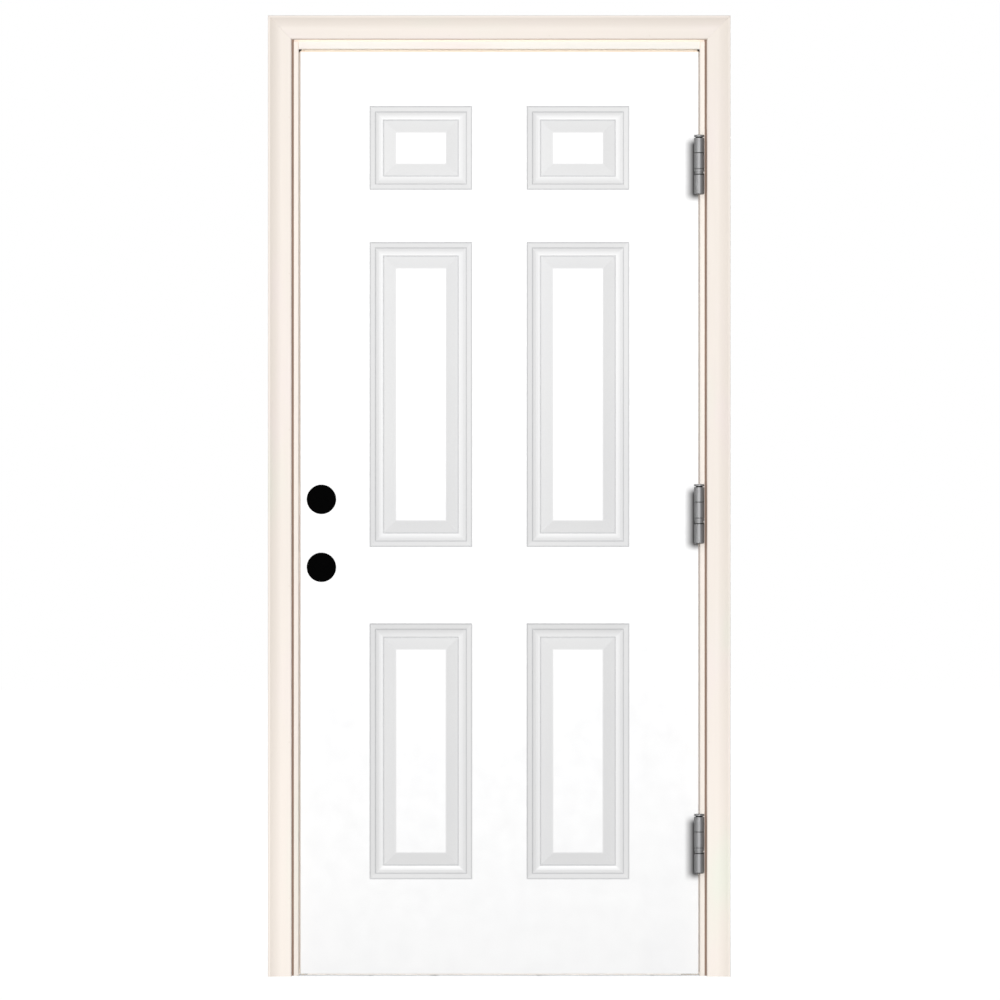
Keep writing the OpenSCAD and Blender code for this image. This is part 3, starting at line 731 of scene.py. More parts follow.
def merged_copy(node: str, name: str, flat: float = 0.4) -> bpy.types.Object:
    """Copies a solid's mesh, joined up and with its flat faces made whole.

    Args:
        node: The solid.
        name: The copy's name.
        flat: Turn, in degrees, within which faces are taken as one.

    Returns:
        The copy.
    """
    work = welded(node)
    bmesh.ops.dissolve_limit(
        work, angle_limit=math.radians(flat), use_dissolve_boundaries=False,
        verts=work.verts, edges=work.edges,
    )
    for face in work.faces:
        face.smooth = True
    return settled(work, name)


def lock_bores() -> list[tuple[str, float, float, float]]:
    """Gives the name, X, Z and radius of each lock bore through the slab, in millimetres."""
    return [
        (m["name"], m["pos_m"][0] / MM, m["pos_m"][2] / MM, m["dims"]["r_mm"])
        for m in frame["record"]["mounts"] if m["name"] in ("lock_bore", "deadbolt_bore")
    ]


def islands(node: str) -> list[tuple[Vector, Vector]]:
    """Gives the box of each loose piece in a solid's node.

    Args:
        node: The node.

    Returns:
        The lowest and highest corner of each piece.
    """
    work = welded(node)
    left, boxes = dict.fromkeys(work.verts), []
    while left:
        stack, found = [left.popitem()[0]], []
        while stack:
            at = stack.pop()
            found.append(at.co.copy())
            for edge in at.link_edges:
                other = edge.other_vert(at)
                if other in left:
                    del left[other]
                    stack.append(other)
        boxes.append((
            Vector(min(p[i] for p in found) for i in range(3)),
            Vector(max(p[i] for p in found) for i in range(3)),
        ))
    work.free()
    return boxes


@dataclass
class PressedSkin:
    """One pressed steel skin of the slab: six raised panels, two lock holes and folded upright edges."""

    face: Face
    thickness: float = 0.8
    fold_r: float = 1.2
    fold_steps: int = 5
    return_w: float = 9.0
    slab_t: float = 44.45
    moulding_w: float = 58.5
    moulding_d: float = 10.0
    panel_xs: tuple[Point, Point] = ((-281.8, -58.8), (59.8, 282.8))
    panel_zs: tuple[Point, Point, Point] = ((210.3, 766.5), (933.0, 1595.8), (1709.6, 1891.6))
    # The moulding from its outer edge inwards: share of its width, share of its depth.
    shares: tuple[Point, ...] = (
        (0, 0), (0.02, 0.13), (0.2, 0.39), (0.22, 0.52), (0.28, 0.66), (0.347, 0.76), (0.424, 0.82),
        (0.494, 0.86), (0.516, 1), (0.543, 0.97), (0.948, 0.35), (0.977, 0.32), (1, 0.31),
    )
    # The creases where painted shade darkens the moulding, as shares of its width, and the reach of that
    # shade.
    crease_shares: tuple[float, ...] = (0.024, 0.218, 0.525)
    crease_w: float = 2.0
    rounding: float = 0.3
    brow: float = 0.8
    leaf_slack: float = 0.1
    leaf_t: float = 4.8
    bore_margin: float = 6.0
    bore_steps: int = 72
    node: str = field(init=False)

    def __post_init__(self) -> None:
        """Reads the skin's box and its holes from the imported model."""
        self.node = "exterior_skin" if self.face is Face.OUTER else "interior_skin"
        low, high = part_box(self.node)
        self.x0, self.x1 = low[0] / MM, high[0] / MM
        self.z0, self.z1 = low[2] / MM, high[2] / MM
        self.bores = [bore[1:] for bore in lock_bores()]
        self.notches: list[Point] = []
        if self.face is Face.OUTER:
            for hinge in HINGES:
                low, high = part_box(f"{hinge}_hinge_door_leaf")
                self.notches.append((low[2] / MM - self.leaf_slack, high[2] / MM + self.leaf_slack))

    def holes(self) -> list[tuple[Point, Point, Triple | None]]:
        """Gives the square holes in the sheet.

        Returns:
            The reach of each hole along X and along Z, and the bore that it is for, or None for a panel.
        """
        brow = self.brow
        found = [
            ((x0 - brow, x1 + brow), (z0 - brow, z1 + brow), None)
            for x0, x1 in self.panel_xs for z0, z1 in self.panel_zs
        ]
        for x, z, r in self.bores:
            half = r + self.bore_margin
            found.append(((round(x - half, 3), round(x + half, 3)), (z - half, z + half), (x, z, r)))
        return found

    def columns(self) -> list[Point]:
        """Gives the sheet's uprights as X and Y, from one return round to the other."""
        r = self.fold_r
        faces = {edge for across, _, _ in self.holes() for edge in across}
        faces.add(self.x1 - self.leaf_t - self.leaf_slack)
        left = [(self.x0, self.return_w)] + arc((self.x0 + r, r), r, 180, 270, self.fold_steps)
        right = arc((self.x1 - r, r), r, 270, 360, self.fold_steps) + [(self.x1, self.return_w)]
        return left + [(x, 0.0) for x in sorted(faces)] + right

    def rows(self) -> list[float]:
        """Gives the heights at which the sheet is divided."""
        marks = {self.z0, self.z1}
        for ends in [up for _, up, _ in self.holes()] + self.notches:
            marks |= set(ends)
        return sorted(marks)

    def profile(self) -> list[Triple]:
        """Gives the moulding as set-in, depth and nearness to a crease, which sets its painted shade, with
        small roundings.
        """
        points = [(s * self.moulding_w, d * self.moulding_d) for s, d in self.shares]
        flat = (self.moulding_w + 2 * self.brow, points[-1][1])
        rounded = filleted([(-self.brow, 0.0)] + points + [flat], self.rounding)
        out = []
        for (u0, d0), (u1, d1) in zip(rounded, rounded[1:]):
            parts = math.ceil(2 * (u1 - u0) / self.crease_w)
            steps = [i / parts for i in range(1, parts + 1)]
            out += [(u0 + (u1 - u0) * t, d0 + (d1 - d0) * t) for t in steps]
        return [(u, d, self.nearness(u)) for u, d in out]

    def nearness(self, inset: float) -> float:
        """Gives the strength of the painted crease shade: one on a crease of the moulding and nought a
        crease's width away.
        """
        away = min(abs(inset - share * self.moulding_w) for share in self.crease_shares)
        return max(0.0, 1 - away / self.crease_w)

    def sheet(self) -> bmesh.types.BMesh:
        """Lays out the sheet round its panels, bores and notches.

        Returns:
            The sheet, without thickness.
        """
        work = bmesh.new()
        work.verts.layers.float.new("crease")
        columns, rows = self.columns(), self.rows()
        grid: dict[tuple[int, int], bmesh.types.BMVert] = {}

        def at(c: int, r: int) -> bmesh.types.BMVert:
            """Gives the sheet's point on a column and a row."""
            if (c, r) not in grid:
                grid[c, r] = self.point(work, columns[c][0], columns[c][1], rows[r])
            return grid[c, r]

        def span(marks: Sequence[float], low: float, high: float) -> tuple[int, int]:
            """Gives the marks nearest two values."""
            return tuple(min(range(len(marks)), key=lambda i: abs(marks[i] - v)) for v in (low, high))

        xs = [c[0] if c[1] == 0 else math.inf for c in columns]
        blocked: set[tuple[int, int]] = set()
        for across, up, bore in self.holes():
            (c0, c1), (r0, r1) = span(xs, *across), span(rows, *up)
            blocked |= {(c, r) for c in range(c0, c1) for r in range(r0, r1)}
            sides = [
                [at(c, r0) for c in range(c0, c1 + 1)], [at(c1, r) for r in range(r0, r1 + 1)],
                [at(c, r1) for c in range(c1, c0 - 1, -1)], [at(c0, r) for r in range(r1, r0 - 1, -1)],
            ]
            if bore is None:
                self.press_panel(work, sides)
            else:
                self.cut_bore(work, sides, bore)
        notch_c = span(xs, self.x1 - self.leaf_t - self.leaf_slack, 0)[0]
        for low, high in self.notches:
            r0, r1 = span(rows, low, high)
            blocked |= {(c, r) for c in range(notch_c, len(columns)) for r in range(r0, r1)}
        for c in range(len(columns) - 1):
            for r in range(len(rows) - 1):
                if (c, r) not in blocked:
                    work.faces.new((at(c, r), at(c + 1, r), at(c + 1, r + 1), at(c, r + 1)))
        return work

    def build(self) -> bpy.types.Object:
        """Builds the skin from its sheet.

        Returns:
            The skin, with its thickness.
        """
        work = self.sheet()
        for face in work.faces:
            face.smooth = True
        if self.face is Face.INNER:
            bmesh.ops.reverse_faces(work, faces=work.faces)
        piece = settled(work, f"{self.node}_pressed")
        wall = piece.modifiers.new("wall", "SOLIDIFY")
        wall.thickness = self.thickness * MM
        wall.offset = -1
        wall.use_even_offset = True
        return evened(piece)

    def point(self, work: bmesh.types.BMesh, x: float, y: float, z: float) -> bmesh.types.BMVert:
        """Adds a point, in millimetres, with Y measured inwards from this skin's face."""
        y = y if self.face is Face.OUTER else self.slab_t - y
        return work.verts.new(metres(x, y, z))

    def press_panel(self, work: bmesh.types.BMesh, sides: list[list[bmesh.types.BMVert]]) -> None:
        """Presses one panel into the hole that these four sides bound.

        Args:
            work: The sheet's mesh.
            sides: The points along each side of the hole, in turn.
        """
        corners = [side[0] for side in sides]
        x0, x1 = corners[0].co.x / MM, corners[1].co.x / MM
        z0, z1 = corners[0].co.z / MM, corners[2].co.z / MM
        ring: list[list[bmesh.types.BMVert]] = sides
        crease = work.verts.layers.float["crease"]
        for inset, depth, nearness in self.profile():
            u = inset + self.brow
            places = [(x0 + u, z0 + u), (x1 - u, z0 + u), (x1 - u, z1 - u), (x0 + u, z1 - u)]
            inner = [self.point(work, x, depth, z) for x, z in places]
            for k in range(4):
                inner[k][crease] = nearness
                work.faces.new(list(ring[k]) + [inner[(k + 1) % 4], inner[k]])
                work.edges.get((ring[k][0], inner[k])).smooth = False
            ring = [[inner[k], inner[(k + 1) % 4]] for k in range(4)]
        work.faces.new([side[0] for side in ring])

    def cut_bore(self, work: bmesh.types.BMesh, sides: list[list[bmesh.types.BMVert]],
                 bore: Triple) -> None:
        """Fills a square hole up to a round one.

        Args:
            work: The sheet's mesh.
            sides: The points along each side of the square, in turn.
            bore: Centre and radius of the round hole.
        """
        x, z, r = bore
        n = self.bore_steps
        rim = [
            self.point(work, x + r * math.cos(a), 0.0, z + r * math.sin(a))
            for a in (math.radians(225 + 360 * i / n) for i in range(n))
        ]
        for k in range(4):
            run = [rim[(k * n // 4 + i) % n] for i in range(n // 4 + 1)]
            work.faces.new(list(sides[k]) + run[::-1])

    def dress(self) -> None:
        """Builds the skin, paints it and hangs it on the door."""
        hand_over(self.build(), PRIMED_STEEL, Body.DOOR, [self.node])


@dataclass
class Brickmould:
    """The three mitred lengths of moulding round the outside of the frame."""

    width: float = 51.0
    bead_t: float = 31.75
    flat_t: float = 24.5
    bead_w: float = 4.4
    bead_r: float = 1.5
    cove_w: float = 27.0
    nose_r: float = 3.0
    arris_r: float = 0.6
    hairline: float = 0.12
    sharp_from: float = 50.0
    bead_steps: int = 6
    cove_steps: int = 12
    nose_steps: int = 10

    def __post_init__(self) -> None:
        """Reads the moulding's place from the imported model."""
        low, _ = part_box("hinge_side_brickmould")
        self.inner_x = low[0] / MM
        low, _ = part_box("head_brickmould")
        self.inner_z = low[2] / MM

    def section(self) -> list[Point]:
        """Gives the section: across from the inner edge, and out from the wall."""
        rise = self.bead_t - self.flat_t
        cove_r = (self.cove_w ** 2 + rise ** 2) / (2 * rise)
        cove_u = self.width - self.bead_w - self.cove_w
        turn = math.degrees(math.atan2(rise - cove_r, self.cove_w))
        bead_at = (self.width - self.bead_r, self.bead_t - self.bead_r)
        bead = arc(bead_at, self.bead_r, 0, 90, self.bead_steps)
        cove = arc((cove_u, self.flat_t + cove_r), cove_r, turn, -90, self.cove_steps)
        nose = arc((self.nose_r, self.flat_t - self.nose_r), self.nose_r, 90, 180, self.nose_steps)
        crest = filleted([bead[-1], cove[0], cove[1]], self.arris_r)
        return [(0.0, 0.0), (self.width, 0.0)] + bead + crest[1:-1] + cove[1:] + nose

    def upright(self, side: Side) -> bpy.types.Object:
        """Builds a side length.

        Args:
            side: Which side it stands on.

        Returns:
            The length.
        """
        sign = side.value
        ends = [
            [(sign * (self.inner_x + u), -v, 0.0) for u, v in self.section()],
            [(sign * (self.inner_x + u), -v, self.inner_z + u - self.hairline) for u, v in self.section()],
        ]
        return self.sweep(f"{side.name.lower()}_side_brickmould_run", ends)

    def head(self) -> bpy.types.Object:
        """Builds the head length.

        Returns:
            The length.
        """
        ends = [
            [(sign * (self.inner_x + u - self.hairline), -v, self.inner_z + u) for u, v in self.section()]
            for sign in (-1, 1)
        ]
        return self.sweep("head_brickmould_run", ends)

    def sweep(self, name: str, ends: list[list[Triple]]) -> bpy.types.Object:
        """Joins two end sections into a closed length.

        Args:
            name: The length's name.
            ends: The section's points at each end, in millimetres.

        Returns:
            The length, with even shading.
        """
        work = bmesh.new()
        first, last = [[work.verts.new(Vector(p) * MM) for p in end] for end in ends]
        count = len(first)
        for i in range(count):
            j = (i + 1) % count
            work.faces.new((first[i], first[j], last[j], last[i]))
        caps = [work.faces.new(first[::-1]), work.faces.new(last)]
        bmesh.ops.recalc_face_normals(work, faces=work.faces)
        for face in work.faces:
            face.smooth = face not in caps
        for cap in caps:
            for edge in cap.edges:
                edge.smooth = False
        for edge in work.edges:
            if len(edge.link_faces) == 2 and edge.calc_face_angle() > math.radians(self.sharp_from):
                edge.smooth = False
        return evened(settled(work, name))

    def dress(self) -> list[bpy.types.Object]:
        """Builds the three lengths and primes them."""
        return [
            hand_over(self.upright(Side.HINGE), MOULD_CREAM, Body.FRAME, ["hinge_side_brickmould"]),
            hand_over(self.upright(Side.STRIKE), MOULD_CREAM, Body.FRAME, ["strike_side_brickmould"]),
            hand_over(self.head(), HEAD_MOULD_CREAM, Body.FRAME, ["head_brickmould"]),
        ]


@dataclass
class EasedSolids:
    """Solids whose sharp arrises are eased, as sawn, stamped or turned edges are."""

    nodes: tuple[str, ...]
    finish: Finish
    body: Body
    ease: float = 0.3
    steps: int = 2
    sharper_than: float = 32.0

    def dress(self) -> list[bpy.types.Object]:
        """Copies the solids, eases their arrises and paints them."""
        made = []
        for node in self.nodes:
            piece = merged_copy(node, f"{node}_eased")
            round_off = piece.modifiers.new("ease", "BEVEL")
            round_off.width = self.ease * MM
            round_off.segments = self.steps
            round_off.limit_method = "ANGLE"
            round_off.angle_limit = math.radians(self.sharper_than)
            round_off.use_clamp_overlap = True
            made.append(hand_over(evened(piece), self.finish, self.body, [node]))
        return made


@dataclass
class HingeSet:
    """The three hinges, each with its own finish, because painted shade lies along the seams of its barrel.
    """

    ease: float = 0.4
    # Each seam's height over the pin's foot, the reach of its painted shade to either side and how dark that
    # shade is.
    seams: tuple[Triple, ...] = (
        (43.5, 1.5, 0.9), (55.5, 0.9, 0.5), (90.3, 1.2, 0.7), (124.0, 1.7, 1.0),
    )

    def dress(self) -> list[bpy.types.Object]:
        """Eases the leaves, pins and bearings of each hinge and plates them."""
        made = []
        for hinge in HINGES:
            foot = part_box(f"{hinge}_hinge_pin")[0][2]
            seams = tuple((foot + rise * MM, reach, strength) for rise, reach, strength in self.seams)
            finish = replace(HINGE_SATIN, name=f"{hinge}_hinge_satin", seams=seams)
            on_frame = tuple(f"{hinge}_hinge_{part}" for part in ("jamb_leaf", "pin", "bearing"))
            made += EasedSolids(on_frame, finish, Body.FRAME, self.ease).dress()
            made += EasedSolids((f"{hinge}_hinge_door_leaf",), finish, Body.DOOR, self.ease).dress()
        return made


class FormBench(NodeBench):
    """Lays one Geometry Nodes tree with named inputs, and runs it on pieces."""

    def __init__(self, name: str, inputs: dict[str, str]) -> None:
        """Starts a tree.

        Args:
            name: The tree's name.
            inputs: The socket type of each named input, beside the geometry and the finish.
        """
        super().__init__(bpy.data.node_groups.new(name, "GeometryNodeTree"))
        make = self.tree.interface.new_socket
        for way in ("INPUT", "OUTPUT"):
            make(name="Geometry", in_out=way, socket_type="NodeSocketGeometry")
        self.names = {
            key: make(name=key, in_out="INPUT", socket_type=kind).identifier
            for key, kind in {**inputs, "Finish": "NodeSocketMaterial"}.items()
        }
        self.given = self.node("NodeGroupInput").outputs

    def vector(self, x: "Wire | float", y: "Wire | float", z: "Wire | float") -> bpy.types.NodeSocket:
        """Gives three numbers as one vector."""
        return self.node("ShaderNodeCombineXYZ", {}, {0: x, 1: y, 2: z}).outputs[0]

    def box(self, x: Wire, y: Wire, z: Wire) -> bpy.types.NodeSocket:
        """Adds a box of three lengths."""
        return self.node("GeometryNodeMeshCube", {}, {"Size": self.vector(x, y, z)}).outputs["Mesh"]

    def join(self, *forms: bpy.types.NodeSocket) -> bpy.types.NodeSocket:
        """Gives several forms as one."""
        joined = self.node("GeometryNodeJoinGeometry")
        for form in forms:
            self.tree.links.new(form, joined.inputs[0])
        return joined.outputs[0]

    def close(self, form: bpy.types.NodeSocket) -> None:
        """Makes a form's instances real, gives it its finish and ends the tree."""
        real = self.node("GeometryNodeRealizeInstances", {}, {"Geometry": form})
        done = self.node("GeometryNodeSetMaterial", {}, {
            "Geometry": real.outputs[0], "Material": self.given["Finish"],
        })
        self.node("NodeGroupOutput", {}, {"Geometry": done.outputs[0]})

    def run(self, piece: bpy.types.Object, values: dict) -> bpy.types.Object:
        """Runs the tree on a piece and keeps the outcome as a plain mesh.

        Args:
            piece: What the tree starts from.
            values: The value of each named input.

        Returns:
            The same piece.
        """
        made = piece.modifiers.new(self.tree.name, "NODES")
        made.node_group = self.tree
        for name, value in values.items():
            made[self.names[name]] = value
        return plain(piece)


@dataclass
class ScrewSet:
    """Countersunk wood screws with a cross recess, one mesh for each node of screws."""

    head_r: float = 4.8
    shank_r: float = 2.4
    head_h: float = 3.0
    recess_w: float = 1.15
    recess_l: float = 5.2
    recess_d: float = 1.6
    tip_share: float = 0.2
    neck_share: float = 0.99
    sides: int = 32
    turn_seed: int = 7
    sharp_from: float = 28.0
    # The way that each row's tips point along X; nought is towards the middle of the door.
    rows: tuple[tuple[str, Body, int], ...] = (
        ("jamb_leaf_screws", Body.FRAME, 1), ("door_leaf_screws", Body.DOOR, -1),
        ("frame_corner_screws", Body.FRAME, 0), ("sill_screws", Body.FRAME, 0),
    )
    inputs: tuple[str, ...] = (
        "Head Radius", "Shank Radius", "Head Height", "Length", "Recess Width", "Recess Length",
        "Recess Depth", "Tip Share",
    )

    def screw(self, bench: FormBench) -> bpy.types.NodeSocket:
        """Builds one screw, with the face of its head at nought and its tip up.

        Args:
            bench: The tree's bench.

        Returns:
            The screw, as one closed shell.
        """
        head_r, shank_r, head_h, length, wide, long, deep, tip_share = (
            Wire(bench, bench.given[name]) for name in self.inputs
        )
        tip = length * tip_share
        shank = length - head_h - tip

        def cone(foot: Wire, top: "Wire | float", height: Wire, lift: "Wire | None") -> bpy.types.NodeSocket:
            """Adds a closed round length, or an open one with its foot lifted to a height."""
            made = bench.node("GeometryNodeMeshCone", {"fill_type": "NONE" if lift else "NGON"}, {
                "Vertices": self.sides, "Radius Top": top, "Radius Bottom": foot, "Depth": height,
            }).outputs["Mesh"]
            if lift is None:
                return made
            up = bench.vector(0.0, 0.0, lift)
            return bench.node("GeometryNodeTransform", {}, {"Geometry": made, "Translation": up}).outputs[0]

        cut = bench.node("GeometryNodeMeshBoolean", {"operation": "DIFFERENCE", "solver": "EXACT"}, {
            "Mesh 1": cone(head_r, shank_r, head_h, None),
        })
        for wing in (bench.box(wide, long, deep * 2), bench.box(long, wide, deep * 2)):
            bench.tree.links.new(wing, cut.inputs["Mesh 2"])
        position = bench.node("GeometryNodeInputPosition").outputs[0]
        height = bench.node("ShaderNodeSeparateXYZ", {}, {0: position}).outputs[2]
        neck = bench.node("FunctionNodeCompare", {"data_type": "FLOAT", "operation": "GREATER_THAN"}, {
            0: height, 1: head_h * self.neck_share,
        })
        head = bench.node("GeometryNodeDeleteGeometry", {"domain": "FACE"}, {
            "Geometry": cut.outputs["Mesh"], "Selection": neck.outputs[0],
        }).outputs[0]
        lower = (cone(shank_r, shank_r, shank, head_h), cone(shank_r, 0.0, tip, head_h + shank))
        return bench.node("GeometryNodeMergeByDistance", {}, {
            "Geometry": bench.join(head, *lower), "Distance": WELD,
        }).outputs[0]

    def form(self) -> FormBench:
        """Builds the tree that puts a screw on every point, driven its own way and turned at random.

        Returns:
            The tree's bench.
        """
        bench = FormBench("cross_recess_screws", dict.fromkeys(self.inputs, "NodeSocketFloat"))
        drive = bench.node("GeometryNodeInputNamedAttribute", {"data_type": "FLOAT_VECTOR"}, {
            "Name": "drive",
        })
        aim = bench.node("FunctionNodeAlignRotationToVector", {"axis": "Z"}, {
            "Vector": drive.outputs["Attribute"],
        })
        turn = bench.node("FunctionNodeRandomValue", {"data_type": "FLOAT"}, {
            2: 0.0, 3: math.pi / 2, "Seed": self.turn_seed,
        })
        spin = bench.vector(0.0, 0.0, turn.outputs[1])
        spun = bench.node("FunctionNodeRotateRotation", {"rotation_space": "LOCAL"}, {
            "Rotation": aim.outputs[0],
            "Rotate By": bench.node("FunctionNodeEulerToRotation", {}, {0: spin}).outputs[0],
        })
        bench.close(bench.node("GeometryNodeInstanceOnPoints", {}, {
            "Points": bench.given["Geometry"], "Instance": self.screw(bench), "Rotation": spun.outputs[0],
        }).outputs[0])
        return bench

    def dress(self) -> None:
        """Builds the screws of each node where the solids are, and plates them."""
        form = self.form()
        for node, body, way in self.rows:
            places, drives, length = [], [], 0.0
            for low, high in islands(node):
                middle, length = (low + high) / 2, high.x - low.x
                inward = way or -math.copysign(1, middle.x)
                places.append((low.x if inward > 0 else high.x, middle.y, middle.z))
                drives.append((inward, 0.0, 0.0))
            mesh = bpy.data.meshes.new(node)
            mesh.from_pydata(places, [], [])
            mesh.attributes.new("drive", "FLOAT_VECTOR", "POINT").data.foreach_set("vector", sum(drives, ()))
            piece = form.run(new_object(f"{node}_driven", mesh), {
                "Head Radius": self.head_r * MM, "Shank Radius": self.shank_r * MM,
                "Head Height": self.head_h * MM, "Length": length, "Recess Width": self.recess_w * MM,
                "Recess Length": self.recess_l * MM, "Recess Depth": self.recess_d * MM,
                "Tip Share": self.tip_share, "Finish": ZINC.material(),
            })
            piece.data.shade_smooth()
            piece.data.set_sharp_from_angle(angle=math.radians(self.sharp_from))
            hand_over(piece, ZINC, body, [node])


@dataclass
class DustPlugs:
    """Black snap-in plugs that close the two open lock bores from outside; their near-black is painted shade
    for the dark inside of a bore.
    """

    flange_r: float = 32.0
    flange_t: float = 1.5
    rim_r: float = 0.7
    rim_steps: int = 5
    # The shallow dish of the front: share of the flange's radius, and depth.
    dish: tuple[Point, ...] = ((0.0, 0.25), (0.8, 0.2), (0.86, 0.0))
    skirt_r: float = 25.2
    skirt_t: float = 1.4
    skirt_l: float = 9.0
    fingers: int = 10
    finger_w: float = 8.0
    finger_t: float = 1.0
    finger_l: float = 7.0
    finger_bite: float = 0.5
    clear: float = 0.05
    steps: int = 96
    sharp_from: float = 40.0

    def outline(self) -> list[Point]:
        """Gives the cap's section: radius, and depth from the door's face."""
        front, back = -self.flange_t, -self.clear
        bore_r = self.skirt_r - self.skirt_t
        dish = [(self.flange_r * share, front + depth) for share, depth in self.dish]
        rim = arc((self.flange_r - self.rim_r, front + self.rim_r), self.rim_r, -90, 0, self.rim_steps)
        return dish + rim + [
            (self.flange_r, back), (self.skirt_r, back), (self.skirt_r, self.skirt_l),
            (bore_r, self.skirt_l), (bore_r, back), (0.0, back),
        ]

    def cap(self, name: str, x: float, z: float) -> bpy.types.Object:
        """Turns one cap.

        Args:
            name: The plug's name.
            x: Centre of its bore along the wall.
            z: Height of its bore.

        Returns:
            The cap.
        """
        work = bmesh.new()
        turns = [2 * math.pi * i / self.steps for i in range(self.steps)]
        rings = []
        for r, y in self.outline():
            if r == 0:
                rings.append([work.verts.new(metres(x, y, z))] * self.steps)
            else:
                spots = [metres(x + r * math.cos(a), y, z + r * math.sin(a)) for a in turns]
                rings.append([work.verts.new(spot) for spot in spots])
        for a, b in zip(rings, rings[1:]):
            for i in range(self.steps):
                j = (i + 1) % self.steps
                corners = list(dict.fromkeys((a[i], a[j], b[j], b[i])))
                work.faces.new(corners)
        bmesh.ops.recalc_face_normals(work, faces=work.faces)
        for face in work.faces:
            face.smooth = True
        piece = settled(work, name)
        piece.data.set_sharp_from_angle(angle=math.radians(self.sharp_from))
        return piece

    def form(self) -> FormBench:
        """Builds the tree that sets a ring of spring fingers beside the cap that it is given.

        Returns:
            The tree's bench.
        """
        lengths = (
            "Ring Radius", "Finger Width", "Finger Thickness", "Finger Length", "Skirt Length", "Bore X",
            "Bore Z",
        )
        kinds = {**dict.fromkeys(lengths, "NodeSocketFloat"), "Fingers": "NodeSocketInt"}
        bench = FormBench("spring_fingers", kinds)
        ring_r, wide, thick, long, skirt, bore_x, bore_z = (
            Wire(bench, bench.given[name]) for name in lengths
        )
        ring = bench.node("GeometryNodeMeshCircle", {}, {
            "Vertices": bench.given["Fingers"], "Radius": ring_r,
        })
        outward = bench.node("GeometryNodeInputPosition").outputs[0]
        aim = bench.node("FunctionNodeAlignRotationToVector", {"axis": "X", "pivot_axis": "Z"}, {
            "Vector": outward,
        })
        placed = bench.node("GeometryNodeInstanceOnPoints", {}, {
            "Points": ring.outputs["Mesh"], "Instance": bench.box(thick, wide, long),
            "Rotation": aim.outputs[0],
        })
        turned = bench.node("GeometryNodeTransform", {}, {
            "Geometry": placed.outputs[0], "Rotation": (-math.pi / 2, 0, 0),
            "Translation": bench.vector(bore_x, skirt + long * 0.5, bore_z),
        })
        bench.close(bench.join(bench.given["Geometry"], turned.outputs[0]))
        return bench

    def dress(self) -> None:
        """Builds a plug for each lock bore and hangs it on the door."""
        form = self.form()
        for name, x, z, _ in lock_bores():
            piece = form.run(self.cap(f"{name}_plug", x, z), {
                "Ring Radius": (self.skirt_r - self.finger_t / 2) * MM, "Finger Width": self.finger_w * MM,
                "Finger Thickness": self.finger_t * MM, "Finger Length": self.finger_l * MM,
                "Skirt Length": (self.skirt_l - self.finger_bite) * MM, "Bore X": x * MM, "Bore Z": z * MM,
                "Fingers": self.fingers, "Finish": PLUG_BORE_SHADE.material(),
            })
            hand_over(piece, PLUG_BORE_SHADE, Body.DOOR)


@dataclass
class CarriedOver:
    """Solids that keep their own meshes and only take a finish."""

    finishes: dict[str, Finish]

    def dress(self) -> None:
        """Gives each solid its finish."""
        for node, finish in self.finishes.items():
            piece = frame["nodes"][node]
            for slot in piece.material_slots:
                slot.material = finish.material()
            LOG.info("%s: kept, %s", node, finish.name)


@dataclass(frozen=True)
class Lamp:
    """One soft box of the studio."""

    name: str
    place: Triple
    aim: Triple
    size: Point
    power: float
    reach: Reach = Reach.ALL

    def hang(self, groups: dict[Reach, bpy.types.Collection]) -> None:
        """Hangs the lamp.

        Args:
            groups: What each kind of lamp lights, where it doesn't light all.
        """
        light = bpy.data.lights.new(self.name, "AREA")
        light.shape = "RECTANGLE"
        light.size, light.size_y = self.size
        light.energy = self.power
        made = bpy.data.objects.new(self.name, light)
        made.location = self.place
        made.rotation_mode = "QUATERNION"
        made.rotation_quaternion = (Vector(self.aim) - Vector(self.place)).to_track_quat("-Z", "Y")
        made.visible_camera = False
        bpy.context.scene.collection.objects.link(made)
        # Nothing but the hinges and their flags stands in the way of these two kinds.
        if self.reach in (Reach.HINGES_SHADE, Reach.GAPS_LIT):
            made.light_linking.blocker_collection = groups[Reach.HINGES_LIT]
        if self.reach in groups:
            made.light_linking.receiver_collection = groups[self.reach]


